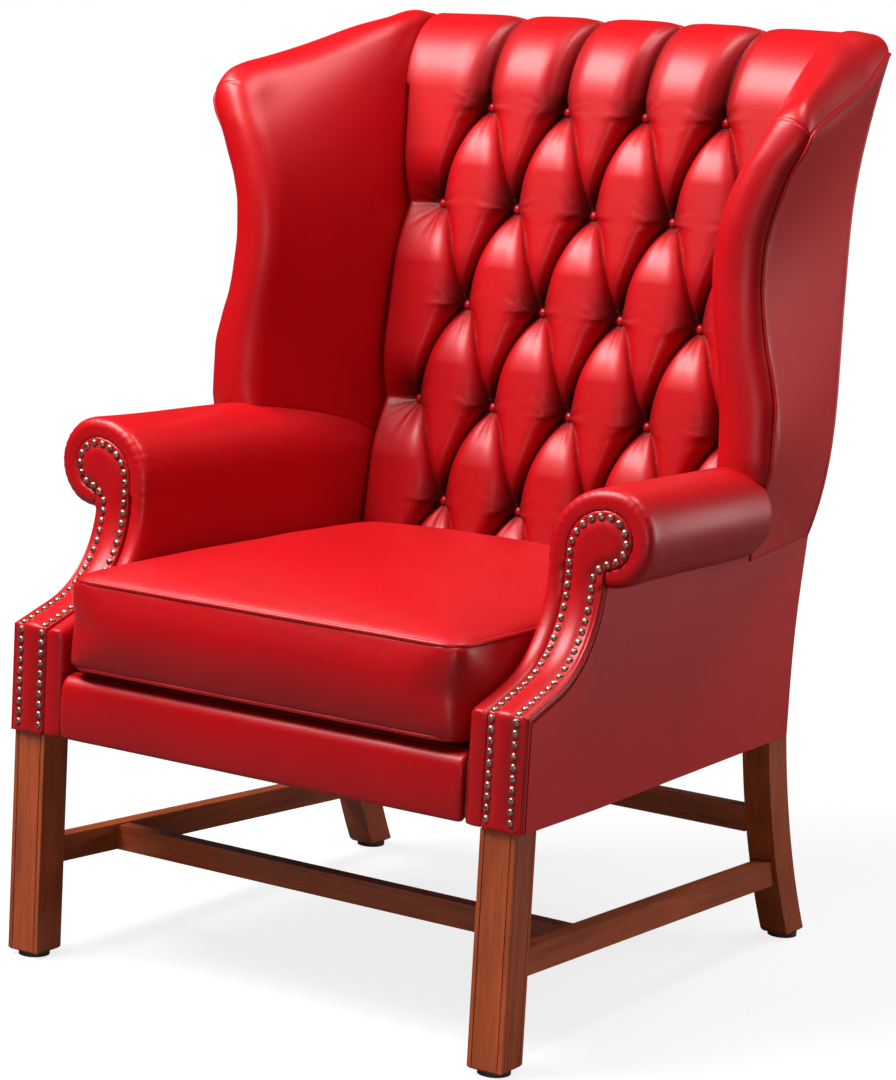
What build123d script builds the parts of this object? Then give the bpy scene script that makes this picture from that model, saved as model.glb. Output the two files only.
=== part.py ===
from build123d import *
import math
import os

# Hall porter chair: a wing chair on four square mahogany legs with an H stretcher, a deep
# buttoned leather back, scroll arms with nailed facings, and one loose box cushion.
# Lengths are in millimetres. X runs to the sitter's left, Y from front to back and Z upwards.
# The chair is drawn with Y measured from the front of the front legs and moved at the end, so
# that the origin is on the floor under the middle of its overall length and width.

os.makedirs("parts", exist_ok=True)

# Overall sizes
back_height = 1168.0
front_leg_spread = 708.0
rear_leg_spread = 688.0
arm_spread = 722.0
arm_spread_at_back = 688.0
upholstery_base = 280.0
cushion_overhang = 16.0

# Clearances and overrun
seam_gap = 0.3
overrun = 40.0

# Legs
glide_height = 6.0
glide_radius = 19.0
foot_chamfer = 2.5
front_leg_section = 45.0
leg_bead = 5.0
leg_quirk = 1.4
rear_leg_width = 38.0
rear_leg_top_depth = 43.0
rear_leg_foot_depth = 47.0
rear_leg_splay = 95.0
splay_at_middle_share = 0.36

# Stretchers
stretcher_height = 33.0
stretcher_thickness = 20.0
side_stretcher_inset = 5.0
side_stretcher_front_top = 141.0
side_stretcher_fall = 26.0
cross_stretcher_setback = 174.0
cross_stretcher_height = 31.0
cross_stretcher_drop = 1.5
rear_stretcher_top = 185.0
tenon_length = 14.0
tenon_shoulder = 5.0

# Seat frame
rail_clearance_below = 4.0
rail_height = 70.0
rail_thickness = 26.0
corner_block_leg = 70.0
webbing_width = 50.0
webbing_thickness = 2.0
webbing_count_across = 5
webbing_count_along = 6
deck_top = 358.0
dust_cover_thickness = 1.5
dust_cover_margin = 12.0

# Back frame and rear outline
post_width = 34.0
crest_rail_height = 60.0
lower_back_rail_height = 50.0
lower_back_rail_base = 408.0
back_panel_thickness = 6.0
back_foot_y = 680.0
back_top_y = 798.0
back_bend_height = 413.0
back_bend_radius = 800.0
bend_shares = (-1.0, -0.5, 0.0, 0.5, 1.0)
back_panel_top_drop = 26.0
back_panel_half_top = 362.0

# Tufted inside back: a plane of buttons leaning back, with puffed leather between them
button_pitch = 117.0
lowest_button_height = 519.7
top_button_drop = 123.5
button_row_count = 5
button_columns = 5
button_radius = 5.5
button_dome = 3.5
button_seat_half = 6.5
buttons_y_at_deck = 641.5
button_rake_share = 0.1254
tuft_depth = 30.0
pleat_rise = 9.0
pleat_half = 2.5
seat_dimple = 0.2
tuft_steps = 4
back_pad_base = 6.0
lining_thickness = 3.0
back_half_width = 284.7
back_half_width_top = 302.0
back_flare_drop = 260.0
crest_roll_drop = 46.0
roll_depth_share = 0.5
rear_tuck_share = 0.5
roll_tuck_start_share = 0.5
crest_roll_shares = (
    (0.0, 0.0, 1.0), (0.42, 0.16, 0.8), (0.74, 0.42, 0.55), (0.93, 0.76, 0.3), (1.0, 1.0, 0.12),
)

# Arms: an upright wall inside, a scroll outside, and a front that sweeps forward to the leg
arm_top = 648.0
arm_inner_x = 285.0
arm_wall = 27.0
arm_shoulder_radius = 75.0
scroll_radius = 56.0
panel_thickness = 10.0
facing_proud = 2.0
facing_thickness = 12.0
facing_inner_x = 311.0
facing_top_inset = 25.0
facing_scroll_radius = 33.0
front_corner_height = 411.0
front_sweep_angle = 18.0
front_sweep_radius = 125.0
scroll_setback = 146.0
arm_rim_radius = 11.0
arm_rail_thickness = 28.0
arm_rail_drop = 7.0
arm_rail_outer_x = 372.0
stump_depth = 45.0
stump_thickness = 30.0
welt_radius = 2.4

# Nails along the facing
nail_radius = 4.6
nail_height = 2.6
nail_pitch = 12.6
nail_edge_inset = 6.0
nail_outer_inset = 13.0
nail_sides = 8
nail_crown_share = 0.55
nail_shoulder_share = 0.72
nail_tip_share = 0.3
nail_base_lift = 12.0

# Wings
wing_front_y = 450.0
wing_band = 66.0
wing_band_bulge = 22.0
wing_inner_crown = 12.0
wing_foot = 536.0
wing_tip_drop = 120.0
wing_skirt_inset = 60.0
wing_waist_reach = 381.0
wing_tip_reach = 432.0
wing_panel_thickness = 6.0
wing_rear_waist = 341.5

# Outline of the wing as shares: height from the arm to the tip, flare in front, flare at the back
wing_flare_shares = (
    (-0.28, 0.1, 0.12), (0.02, 0.6, 0.88), (0.3, 0.37, 0.57), (0.57, 0.0, 0.17), (0.79, 0.36, 0.0),
    (1.0, 1.0, 0.3), (1.32, 2.05, 1.27),
)
wing_stile_width = 26.0
wing_stile_depth = 40.0
wing_stile_setback = 10.0
wing_rail_flare_share = 0.5
wing_rail_height = 30.0
wing_rail_drop = 62.0

# Top of the wing as shares of the run from the tip to the back: ridge height, welt height
wing_top_shares = (
    (-0.1, -0.45, -0.3), (0.0, 0.0, -0.1), (0.05, 0.2, -0.02), (0.16, 0.37, 0.07), (0.4, 0.61, 0.23),
    (0.7, 0.91, 0.42), (1.0, 0.98, 0.78),
)
wing_ridge_share = 0.5
wing_inner_share = 1.35
wing_shoulder_drop = 16.0
wing_crown_share = 0.7

# Front border over the seat rail
border_top = 358.0
border_round = 13.0

# Loose cushion
cushion_clearance = 1.5
cushion_welt_low = 371.0
cushion_welt_high = 476.0
cushion_crown = 30.0
cushion_corner = 24.0
cushion_draw_in = 5.0
cushion_welt_radius = 3.0
cushion_crown_shares = ((0.0, 0.0), (0.28, 0.05), (0.52, 0.13), (0.74, 0.27), (0.9, 0.46), (1.0, 0.74))
cushion_base_shares = ((0.0, 0.0), (0.5, 0.06), (0.85, 0.2), (1.0, 0.42))

# Values worked out from the sizes above
half = 0.5
full_turn = 360.0
narrow_row = button_columns - 1
welt_top = arm_top - scroll_radius - scroll_radius
front_leg_out = front_leg_spread * half
rear_leg_out = rear_leg_spread * half
arm_out = arm_spread * half
arm_out_back = arm_spread_at_back * half
front_leg_in = front_leg_out - front_leg_section
front_post_out = arm_out - panel_thickness
rear_leg_in = rear_leg_out - rear_leg_width
post_rear_y = back_foot_y - back_panel_thickness
rear_leg_top_y = post_rear_y - rear_leg_top_depth
rear_leg_foot_y = rear_leg_top_y + rear_leg_splay
rear_leg_heel_y = rear_leg_foot_y + rear_leg_foot_depth
scroll_height = arm_top - scroll_radius
facing_top = arm_top - facing_top_inset
sweep_angle = math.radians(front_sweep_angle)
panel_hinge_y = scroll_setback + facing_thickness
rail_base = upholstery_base + rail_clearance_below
rail_top = rail_base + rail_height
back_slope_share = (back_top_y - back_foot_y) / (back_height - back_panel_top_drop - back_bend_height)
bend_half = back_bend_radius * math.tan(math.atan(back_slope_share) * half)
button_row_top = back_height - top_button_drop
button_row_pitch = (button_row_top - lowest_button_height) / (button_row_count - 1)
back_flare_start = back_height - back_flare_drop
wing_tip_height = back_height - wing_tip_drop
arm_rail_top = scroll_height - arm_rail_drop
arm_rail_base = arm_rail_top - arm_rail_thickness
post_out = arm_out_back - panel_thickness
post_in = post_out - post_width
cushion_reach = cushion_clearance + cushion_welt_radius + cushion_welt_radius * half
cushion_half_width = arm_inner_x - cushion_reach
cushion_underside = cushion_welt_low - deck_top - seam_gap
tufts_at_cushion_y = buttons_y_at_deck + button_rake_share * (cushion_welt_low - deck_top) - tuft_depth
cushion_rear_y = tufts_at_cushion_y - cushion_reach
middle_y = (back_top_y - cushion_overhang) * half
wing_run = wing_tip_height - arm_top
wing_rail_base = wing_tip_height - wing_rail_drop


# Helpers that turn outlines into solids
def line(start, end):
    return Edge.make_line(start, end)


def arc(start, middle, end):
    return Edge.make_three_point_arc(start, middle, end)


def block(x_low, x_high, y_low, y_high, z_low, z_high):
    corner = Plane((x_low, y_low, z_low))
    return Solid.make_box(x_high - x_low, y_high - y_low, z_high - z_low, corner)


def closed_wire(points):
    return Wire.make_polygon(points, close=True)


def plan_prism(outline, z_low, z_high):
    base = Face(closed_wire([(x, y, z_low) for x, y in outline]))
    return Solid.extrude(base, Vector(0, 0, z_high - z_low))


def side_prism(outline, x_low, x_high):
    base = Face(closed_wire([(x_low, y, z) for y, z in outline]))
    return Solid.extrude(base, Vector(x_high - x_low, 0, 0))


def front_prism(edges, y_low, y_high):
    base = Face(Wire(edges))
    return Solid.extrude(base.moved(Location((0, y_low, 0))), Vector(0, y_high - y_low, 0))


def without(solid, *cutters):
    for cutter in cutters:
        solid = solid - cutter
    return solid


def mirrored(shape):
    return shape.mirror(Plane.YZ)


def solids_of(shape):
    if isinstance(shape, (list, tuple)):
        return [solid for item in shape for solid in solids_of(item)]
    return list(shape.solids())


def save(name, shape):
    to_origin = Location((0, -middle_y, 0))
    placed = [solid.moved(to_origin) for solid in solids_of(shape)]
    placed = placed[0] if len(placed) == 1 else Compound(placed)
    export_step(placed, f"parts/{name}.step")


def save_pair(name, right_side):
    save(f"{name}_left", right_side)
    save(f"{name}_right", [mirrored(solid) for solid in solids_of(right_side)])


# Reference lines that several pieces share
def button_y(z):
    return buttons_y_at_deck + button_rake_share * (z - deck_top)


def pad_back_y(z):
    return button_y(z) + back_pad_base


def post_front_at(z):
    return pad_back_y(z) + lining_thickness


def rear_y(z, inset=0.0):
    """Outline of the outside back, with the rounded bend that the posts have above the seat."""
    rise = z - back_bend_height
    y = back_foot_y - inset
    if rise > bend_half:
        return y + back_slope_share * rise
    if rise < -bend_half:
        return y
    return y + back_slope_share * (rise + bend_half) ** 2 / (bend_half + bend_half) * half


def rear_heights(z_low, z_high):
    """Heights at which the rear outline needs a point: its ends and the arc between."""
    stops = [back_bend_height + bend_half * share for share in bend_shares]
    return [z_low] + [z for z in stops if z_low < z < z_high] + [z_high]


def sweep_turns(inset):
    """Places (y, z) on the front outline where it turns: corner, start, middle and end of the arc."""
    cosine, sine = math.cos(sweep_angle), math.sin(sweep_angle)
    corner_z = front_corner_height - inset * (1 - sine) / cosine
    centre_y = scroll_setback - front_sweep_radius
    first_y = centre_y + front_sweep_radius * sine
    first_z = front_corner_height + (first_y + facing_proud) * math.tan(sweep_angle)
    centre_z = first_z + front_sweep_radius * cosine
    radius = front_sweep_radius + inset
    middle_angle = (sweep_angle + math.pi * half) * half
    begin = (centre_y + radius * sine, centre_z - radius * cosine)
    middle = (centre_y + radius * math.sin(middle_angle), centre_z - radius * math.cos(middle_angle))
    return (inset - facing_proud, corner_z), begin, middle, (centre_y + radius, centre_z)


def sweep_edges(inset, x, z_low):
    """Front outline of the arm in side view, from its foot up to above the scroll."""
    corner, begin, middle, end = [(x, y, z) for y, z in sweep_turns(inset)]
    low = (x, corner[1], z_low)
    head = (x, end[1], arm_top + overrun)
    return [line(low, corner), line(corner, begin), arc(begin, middle, end), line(end, head)], low, head


def behind_sweep(inset, x_low, x_high, z_low=upholstery_base, y_far=back_top_y):
    """Everything behind the swept front of the arm, moved in by an inset."""
    front, low, head = sweep_edges(inset, x_low, z_low)
    far_head, far_low = (x_low, y_far, head[2]), (x_low, y_far, z_low)
    rest = [line(head, far_head), line(far_head, far_low), line(far_low, low)]
    return Solid.extrude(Face(Wire(front + rest)), Vector(x_high - x_low, 0, 0))


def sweep_slab(inset, thickness, x_low, x_high, z_low=upholstery_base):
    return behind_sweep(inset, x_low, x_high, z_low) - behind_sweep(
        inset + thickness, x_low - overrun, x_high + overrun, z_low - overrun
    )


# Legs and stretchers
def chamfered_foot(x_low, x_high, y_low, y_high):
    """Space that widens upwards at half a right angle from a foot's chamfered end."""
    ends = []
    top_inset = foot_chamfer - (upholstery_base - glide_height)
    for z, inset in ((glide_height, foot_chamfer), (upholstery_base, top_inset)):
        near, far = y_low + inset, y_high - inset
        low, high = x_low + inset, x_high - inset
        ends.append(closed_wire([(low, near, z), (high, near, z), (high, far, z), (low, far, z)]))
    return Solid.make_loft(ends, ruled=True)


def front_leg():
    shown = block(front_leg_in, front_leg_out, 0, front_leg_section, glide_height, upholstery_base)
    quirks = []
    top = upholstery_base + overrun
    for edge in (front_leg_in + leg_bead, front_leg_out - leg_bead - leg_quirk):
        quirks.append(block(edge, edge + leg_quirk, -overrun, leg_quirk, 0, top))
    for edge in (leg_bead, front_leg_section - leg_bead - leg_quirk):
        side_face = front_leg_out - leg_quirk
        quirks.append(block(side_face, side_face + overrun, edge, edge + leg_quirk, 0, top))
    shown = without(shown, *quirks) & chamfered_foot(front_leg_in, front_leg_out, 0, front_leg_section)
    post_front = facing_thickness - facing_proud
    post = block(front_leg_in, front_post_out, post_front, front_leg_section, upholstery_base, rail_top)
    return shown + post


def rear_leg():
    top_y = rear_leg_top_y
    middle_z = (upholstery_base + glide_height) * half
    middle_front = top_y + rear_leg_splay * splay_at_middle_share
    heel_run = rear_leg_heel_y - back_foot_y
    middle_back = back_foot_y + heel_run * splay_at_middle_share
    x = rear_leg_in
    front = arc(
        (x, rear_leg_foot_y, glide_height), (x, middle_front, middle_z), (x, top_y, upholstery_base)
    )
    back = arc(
        (x, back_foot_y, upholstery_base), (x, middle_back, middle_z), (x, rear_leg_heel_y, glide_height)
    )
    head = line((x, top_y, upholstery_base), (x, back_foot_y, upholstery_base))
    foot = line((x, rear_leg_heel_y, glide_height), (x, rear_leg_foot_y, glide_height))
    shown = Solid.extrude(Face(Wire([front, head, back, foot])), Vector(rear_leg_width, 0, 0))
    shown = shown & chamfered_foot(rear_leg_in, rear_leg_out, rear_leg_foot_y, rear_leg_heel_y)
    post = block(rear_leg_in, post_out, top_y, post_rear_y, upholstery_base, rail_top)
    return shown + post


def rear_leg_front_at(z):
    """Front of the rear leg at a height, from the circle through its three outline points."""
    low = Vector(rear_leg_foot_y, glide_height)
    middle = Vector(
        rear_leg_top_y + rear_leg_splay * splay_at_middle_share, (upholstery_base + glide_height) * half
    )
    high = Vector(rear_leg_top_y, upholstery_base)
    edge = Edge.make_three_point_arc(low, middle, high)
    centre = edge.arc_center
    return centre.X - math.sqrt(edge.radius**2 - (z - centre.Y) ** 2)


def foot_glides():
    middle_front = (front_leg_in + front_leg_out) * half
    middle_rear = (rear_leg_in + rear_leg_out) * half
    rear_middle_y = (rear_leg_foot_y + rear_leg_heel_y) * half
    places = ((middle_front, front_leg_section * half), (middle_rear, rear_middle_y))
    glides = []
    for x, y in places:
        glide = Solid.make_cylinder(glide_radius, glide_height, Plane((x, y, 0)))
        glides += [glide, mirrored(glide)]
    return glides


def side_bar_values():
    """Ends of the side stretcher and how much it falls and toes in for each unit of its run."""
    back_y = rear_leg_front_at(side_stretcher_front_top - side_stretcher_fall - stretcher_height * half)
    run = back_y - front_leg_section
    return back_y, side_stretcher_fall / run, (front_leg_out - rear_leg_out) / run


def side_bar_out(y):
    return front_leg_out - side_stretcher_inset - side_bar_values()[2] * (y - front_leg_section)


def side_bar_top(y):
    return side_stretcher_front_top - side_bar_values()[1] * (y - front_leg_section)


def side_bar(trim, y_low, y_high):
    """The bar between two depths, with every side moved in by a trim."""
    ends = []
    for y in (y_low, y_high):
        out, inner = side_bar_out(y) - trim, side_bar_out(y) - stretcher_thickness + trim
        top, low = side_bar_top(y) - trim, side_bar_top(y) - stretcher_height + trim
        ends.append(closed_wire([(out, y, low), (out, y, top), (inner, y, top), (inner, y, low)]))
    return Solid.make_loft(ends, ruled=True)


def side_stretcher():
    """Bar from the front leg to the rear leg, falling a little to the back, with a tenon at each end."""
    back_y = side_bar_values()[0]
    bar = side_bar(0, front_leg_section, back_y + overrun) - rear_leg()
    bar = max(bar.solids(), key=lambda piece: piece.volume)
    tenons = side_bar(tenon_shoulder, front_leg_section - tenon_length, back_y + tenon_length)
    return (bar + tenons).solids()[0]


def cross_stretcher():
    """Bar between the side stretchers, shouldered against their inner faces."""
    near, far = cross_stretcher_setback, cross_stretcher_setback + stretcher_thickness
    top = side_bar_top(far) - cross_stretcher_drop
    low = top - cross_stretcher_height

    def bar(trim, reach):
        right = [(side_bar_out(y) - stretcher_thickness + reach, y) for y in (near + trim, far - trim)]
        left = [(-x, y) for x, y in reversed(right)]
        return plan_prism(right + left, low + trim, top - trim)

    return (bar(0, 0) + bar(tenon_shoulder, tenon_length * half)).solids()[0]


def rear_stretcher():
    low = rear_stretcher_top - stretcher_height
    front_y = rear_leg_front_at(rear_stretcher_top) + tenon_shoulder
    bar = block(-rear_leg_in, rear_leg_in, front_y, front_y + stretcher_thickness, low, rear_stretcher_top)
    reach = rear_leg_in + tenon_length
    tenon = block(
        -reach, reach, front_y + tenon_shoulder, front_y + stretcher_thickness - tenon_shoulder,
        low + tenon_shoulder, rear_stretcher_top - tenon_shoulder,
    )
    return bar + tenon


# Seat frame
def front_rail():
    y_front = facing_thickness - facing_proud
    return block(-front_leg_in, front_leg_in, y_front, y_front + rail_thickness, rail_base, rail_top)


def rear_rail():
    return block(-rear_leg_in, rear_leg_in, post_rear_y - rail_thickness, post_rear_y, rail_base, rail_top)


def panel_inner_x(y):
    """Inside of the outside arm board, which runs straight, then tapers to the back."""
    share = max(0.0, (y - panel_hinge_y) / (post_rear_y - panel_hinge_y))
    return arm_out - panel_thickness - (arm_out - arm_out_back) * share


def side_rail():
    outer = [(panel_inner_x(y), y) for y in (front_leg_section, panel_hinge_y, rear_leg_top_y)]
    inner = [(x - rail_thickness, y) for x, y in reversed(outer)]
    return plan_prism(outer + inner, rail_base, rail_top)


def corner_blocks():
    """Triangular braces glued in the four corners of the seat frame."""
    front_y = facing_thickness - facing_proud + rail_thickness
    rear_face_y = post_rear_y - rail_thickness
    low, high = rail_base + rail_thickness * half, rail_top - webbing_thickness
    blocks = []
    for x, corner_y, step in ((front_leg_in, front_y, 1), (rear_leg_in, rear_face_y, -1)):
        outline = [(x, corner_y), (x, corner_y + corner_block_leg * step), (x - corner_block_leg, corner_y)]
        brace = without(plan_prism(outline, low, high), side_rail(), front_leg(), rear_leg())
        blocks += [brace, mirrored(brace)]
    return blocks


def seat_webbing():
    """Straps laid over the rails: one layer from front to back and one across on top of it."""
    straps = []
    front_y = facing_thickness - facing_proud + border_round
    span = rear_leg_in - webbing_width
    for index in range(webbing_count_across):
        x = -span + span * (index + index) / (webbing_count_across - 1)
        x_low, x_high = x - webbing_width * half, x + webbing_width * half
        straps.append(block(x_low, x_high, front_y, post_rear_y, rail_top, rail_top + webbing_thickness))
    upper = rail_top + webbing_thickness
    run = rear_leg_top_y - front_leg_section - webbing_width
    for index in range(webbing_count_along):
        y = front_leg_section + webbing_width * half + run * (index + half) / webbing_count_along
        reach = panel_inner_x(y + webbing_width)
        y_low, y_high = y - webbing_width * half, y + webbing_width * half
        straps.append(block(-reach, reach, y_low, y_high, upper, upper + webbing_thickness))
    return straps


def seat_deck(straps):
    """Stuffed platform over the straps, between the rails' outer edges."""
    front_y = facing_thickness - facing_proud + border_round
    reach = arm_inner_x + arm_wall
    return without(block(-reach, reach, front_y, pad_back_y(deck_top), rail_top, deck_top), *straps)


def dust_cover():
    front_y = facing_thickness - facing_proud + dust_cover_margin
    reach = panel_inner_x(rear_leg_top_y) - dust_cover_margin
    rear = post_rear_y - dust_cover_margin
    cover = block(-reach, reach, front_y, rear, rail_base - dust_cover_thickness, rail_base)
    legs = [front_leg(), rear_leg()]
    return without(cover, *legs, *[mirrored(leg) for leg in legs])


# Back frame
def back_post():
    z_high = back_height - crest_roll_drop
    heights = rear_heights(rail_top, z_high)
    rear = [(rear_y(z, back_panel_thickness), z) for z in heights]
    front = [(post_front_at(z_high), z_high), (post_front_at(rail_top), rail_top)]
    return side_prism(rear + front, post_in, post_out)


def cross_rail(z_low, z_high):
    rear = [(rear_y(z, back_panel_thickness), z) for z in rear_heights(z_low, z_high)]
    front = [(post_front_at(z_high), z_high), (post_front_at(z_low), z_low)]
    return side_prism(rear + front, -post_in, post_in)


def crest_rail():
    z_high = back_height - crest_roll_drop
    return cross_rail(z_high - crest_rail_height, z_high)


def lower_back_rail():
    return cross_rail(lower_back_rail_base, lower_back_rail_base + lower_back_rail_height)


def back_lining():
    """Tight cloth and webbing across the front of the posts, which the buttons are tied through."""
    z_low = deck_top
    z_high = back_height - crest_roll_drop
    outline = [
        (pad_back_y(z_low), z_low), (pad_back_y(z_low) + lining_thickness, z_low),
        (pad_back_y(z_high) + lining_thickness, z_high), (pad_back_y(z_high), z_high),
    ]
    reach = arm_inner_x + arm_wall - seam_gap
    return side_prism(outline, -reach, reach)


def outside_back():
    """Leather covered board over the back, curved with the posts, its sides following the wings."""
    z_high = back_height - back_panel_top_drop
    heights = rear_heights(upholstery_base, z_high)
    rear = [(rear_y(z), z) for z in heights]
    front = [(rear_y(z, back_panel_thickness), z) for z in reversed(heights)]
    slab = side_prism(rear + front, -back_panel_half_top - overrun, back_panel_half_top + overrun)
    side = [(x, 0, z) for z, x in wing_rear_stations() if wing_foot < z < z_high]
    side = [(arm_out_back, 0, wing_foot)] + side + [(wing_rear_x(z_high), 0, z_high)]
    other = [(-x, y, z) for x, y, z in side]
    foot, other_foot = (arm_out_back, 0, upholstery_base), (-arm_out_back, 0, upholstery_base)
    edges = [
        line(other_foot, foot), line(foot, side[0]), Edge.make_spline(side),
        line(side[-1], other[-1]), Edge.make_spline(other[::-1]), line(other[0], other_foot),
    ]
    return (slab & front_prism(edges, 0, back_top_y + overrun)).solids()[0]


# Tufted back
def half_width_at(z):
    share = max(0.0, (z - back_flare_start) / (back_height - back_flare_start))
    return back_half_width + (back_half_width_top - back_half_width) * share


def tuft_section(z, wide_share, depth_share, pleat_y, front_y, back_y, seat_half):
    """One level of the buttoned leather: eleven spans between creases, then the flat back.

    wide_share is 1 where the cells over the wider rows' buttons are at their fullest and 0
    where the cells between them are, with each narrow cell no wider than a button's seat.
    """
    half_width = half_width_at(z)
    outer_half = seat_half + (button_pitch * half - seat_half - seat_half) * wide_share
    creases = []
    for column in range(button_columns):
        centre = (column - narrow_row * half) * button_pitch
        creases += [centre - outer_half, centre + outer_half]
    edge_limit = half_width - seat_half
    creases = [max(-edge_limit, min(edge_limit, x)) for x in creases]
    spans = list(zip(creases[:-1], creases[1:]))
    left_edge, right_edge = (-half_width, pleat_y, z), (half_width, pleat_y, z)
    edges = [line(left_edge, (creases[0], pleat_y, z))]
    for index, (start, end) in enumerate(spans):
        is_outer_cell = index % 2 == 0
        fullness = wide_share if is_outer_cell else 1 - wide_share
        rise = math.sqrt(fullness * (2 - fullness)) * tuft_depth * depth_share
        crest_y = min(front_y - rise, pleat_y - seat_dimple)
        edges.append(arc((start, pleat_y, z), ((start + end) * half, crest_y, z), (end, pleat_y, z)))
    right, left = (half_width, back_y, z), (-half_width, back_y, z)
    edges.append(line((creases[-1], pleat_y, z), right_edge))
    edges += [line(right_edge, right), line(right, left), line(left, left_edge)]
    return Wire(edges)


def inside_back():
    """Buttoned pad, lofted level by level, with the roll that carries it over the crest rail."""
    levels = []
    bottom_row = button_row_top - (button_row_count - 1) * button_row_pitch

    def level(z, wide_share, crease_share, seat_half, back_y=None):
        seat_y = button_y(z)
        pleat_y = seat_y - pleat_rise * crease_share
        rear = pad_back_y(z) if back_y is None else back_y
        levels.append(tuft_section(z, wide_share, 1.0, pleat_y, seat_y, rear, seat_half))

    level(deck_top, 1.0, 1.0, pleat_half)
    level((deck_top + bottom_row) * half, 1.0, 1.0, pleat_half)
    for row in range(button_row_count - 1):
        for step in range(tuft_steps):
            share = step / tuft_steps
            wide = 1 - share if row % 2 == 0 else share
            z = bottom_row + (row + share) * button_row_pitch
            level(z, wide, math.sin(math.pi * share), button_seat_half)
    level(button_row_top, 1.0, 0.0, button_seat_half)
    roll_start = back_height - crest_roll_drop
    level((button_row_top + roll_start) * half, 1.0, 1.0, pleat_half)
    level(roll_start, 1.0, 1.0, pleat_half)
    body = Solid.make_loft(levels, ruled=True)

    roll = []
    roll_reach = rear_y(back_height, back_panel_thickness) - button_y(roll_start)
    for rise_share, back_share, depth_share in crest_roll_shares:
        z = roll_start + crest_roll_drop * rise_share
        seat_y = button_y(roll_start) + roll_reach * roll_depth_share * back_share
        pleat_y = seat_y - pleat_rise * depth_share
        rear = rear_y(min(z, back_height - back_panel_top_drop), back_panel_thickness)
        rear -= roll_reach * rear_tuck_share * max(0.0, rise_share - roll_tuck_start_share)
        roll.append(tuft_section(z, 1.0, depth_share, pleat_y, seat_y, rear, pleat_half))
    crest = Solid.make_loft(roll, ruled=True)
    return without(body + crest, *button_pockets())


def button_places():
    """Rows from the top: four buttons, then five, and so on down the back."""
    places = []
    for row in range(button_row_count):
        z = button_row_top - row * button_row_pitch
        count = narrow_row + row % 2
        for index in range(count):
            places.append(((index - (count - 1) * half) * button_pitch, z))
    return places


def button_plane(x, z):
    """Seat of a button, facing the sitter."""
    return Plane(origin=(x, button_y(z) - seam_gap, z), x_dir=(1, 0, 0), z_dir=(0, -1, 0))


def back_buttons():
    """Leather covered buttons, domed on the front and pulled down on their seats."""
    rim = button_dome * half
    dome_radius = (button_radius**2 + button_dome**2) * half / button_dome
    centre = rim + button_dome - dome_radius
    middle_angle = math.asin(button_radius / dome_radius) * half
    middle = (dome_radius * math.sin(middle_angle), 0, centre + dome_radius * math.cos(middle_angle))
    profile = Face(
        Wire([
            line((0, 0, 0), (button_radius, 0, 0)),
            line((button_radius, 0, 0), (button_radius, 0, rim)),
            arc((button_radius, 0, rim), middle, (0, 0, rim + button_dome)),
            line((0, 0, rim + button_dome), (0, 0, 0)),
        ])
    )
    button = Solid.revolve(profile, full_turn, Axis.Z)
    return [button.moved(button_plane(x, z).location) for x, z in button_places()]


def button_pockets():
    """Room round each button, down to its seat in the leather."""
    reach = tuft_depth + overrun
    pocket = Solid.make_cylinder(button_radius + seam_gap, reach)
    return [pocket.moved(button_plane(x, z).location) for x, z in button_places()]


# Arms
def arm_head_edges(inner_x, shoulder_radius, head_x, top_z, head_radius):
    """Hook shaped head of the arm in front view, from the inner wall over to the neck."""
    shoulder_z = top_z - shoulder_radius
    centre_z = top_z - head_radius
    diagonal = math.sqrt(half)
    lean = shoulder_radius * diagonal
    turn = head_radius * diagonal
    inner = (inner_x, 0, shoulder_z)
    crown = (head_x, 0, top_z)
    side = (head_x + head_radius, 0, centre_z)
    neck = (head_x, 0, centre_z - head_radius)
    edges = [
        arc(inner, (head_x - (head_x - inner_x) * diagonal, 0, shoulder_z + lean), crown),
        arc(crown, (head_x + turn, 0, centre_z + turn), side),
        arc(side, (head_x + turn, 0, centre_z - turn), neck),
    ]
    return inner, edges, neck


def arm_rail():
    """Board on top of the arm, from the facing to the back post."""
    back = post_front_at(arm_rail_top)
    outline = [
        (arm_inner_x + arm_wall, panel_hinge_y), (arm_rail_outer_x, panel_hinge_y),
        (arm_rail_outer_x, wing_front_y), (post_out, back), (arm_inner_x + arm_wall, back),
    ]
    return plan_prism(outline, arm_rail_base, arm_rail_top) - back_post()


def arm_stump():
    """Upright under the arm, sawn to the same sweep as the facing that it carries."""
    outer = front_leg_out
    stump = sweep_slab(facing_thickness, stump_depth, outer - stump_thickness, outer, rail_top)
    stump = stump & block(outer - stump_thickness, outer, 0, back_top_y, rail_top, arm_rail_base)
    return stump - outside_arm()


def facing_solid():
    """Nailed front panel of the arm, with a rebate along its outer edge for the welt."""
    inner, edges, neck = arm_head_edges(
        facing_inner_x, arm_out - facing_inner_x, arm_out, facing_top, facing_scroll_radius
    )
    base_inner = (facing_inner_x, 0, upholstery_base)
    base_outer = (arm_out, 0, upholstery_base)
    outline = [line(base_inner, inner)] + edges + [line(neck, base_outer), line(base_outer, base_inner)]
    hook = front_prism(outline, -overrun, scroll_setback + facing_thickness + overrun)
    slab = sweep_slab(0, facing_thickness, facing_inner_x - overrun, arm_out + scroll_radius + overrun)
    rebate = welt_radius + welt_radius + seam_gap
    groove = sweep_slab(0, rebate, arm_out - rebate, arm_out + overrun)
    groove = groove & block(0, arm_out + overrun, -overrun, back_top_y, 0, welt_top)
    return (hook & slab) - groove, hook & slab


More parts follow.
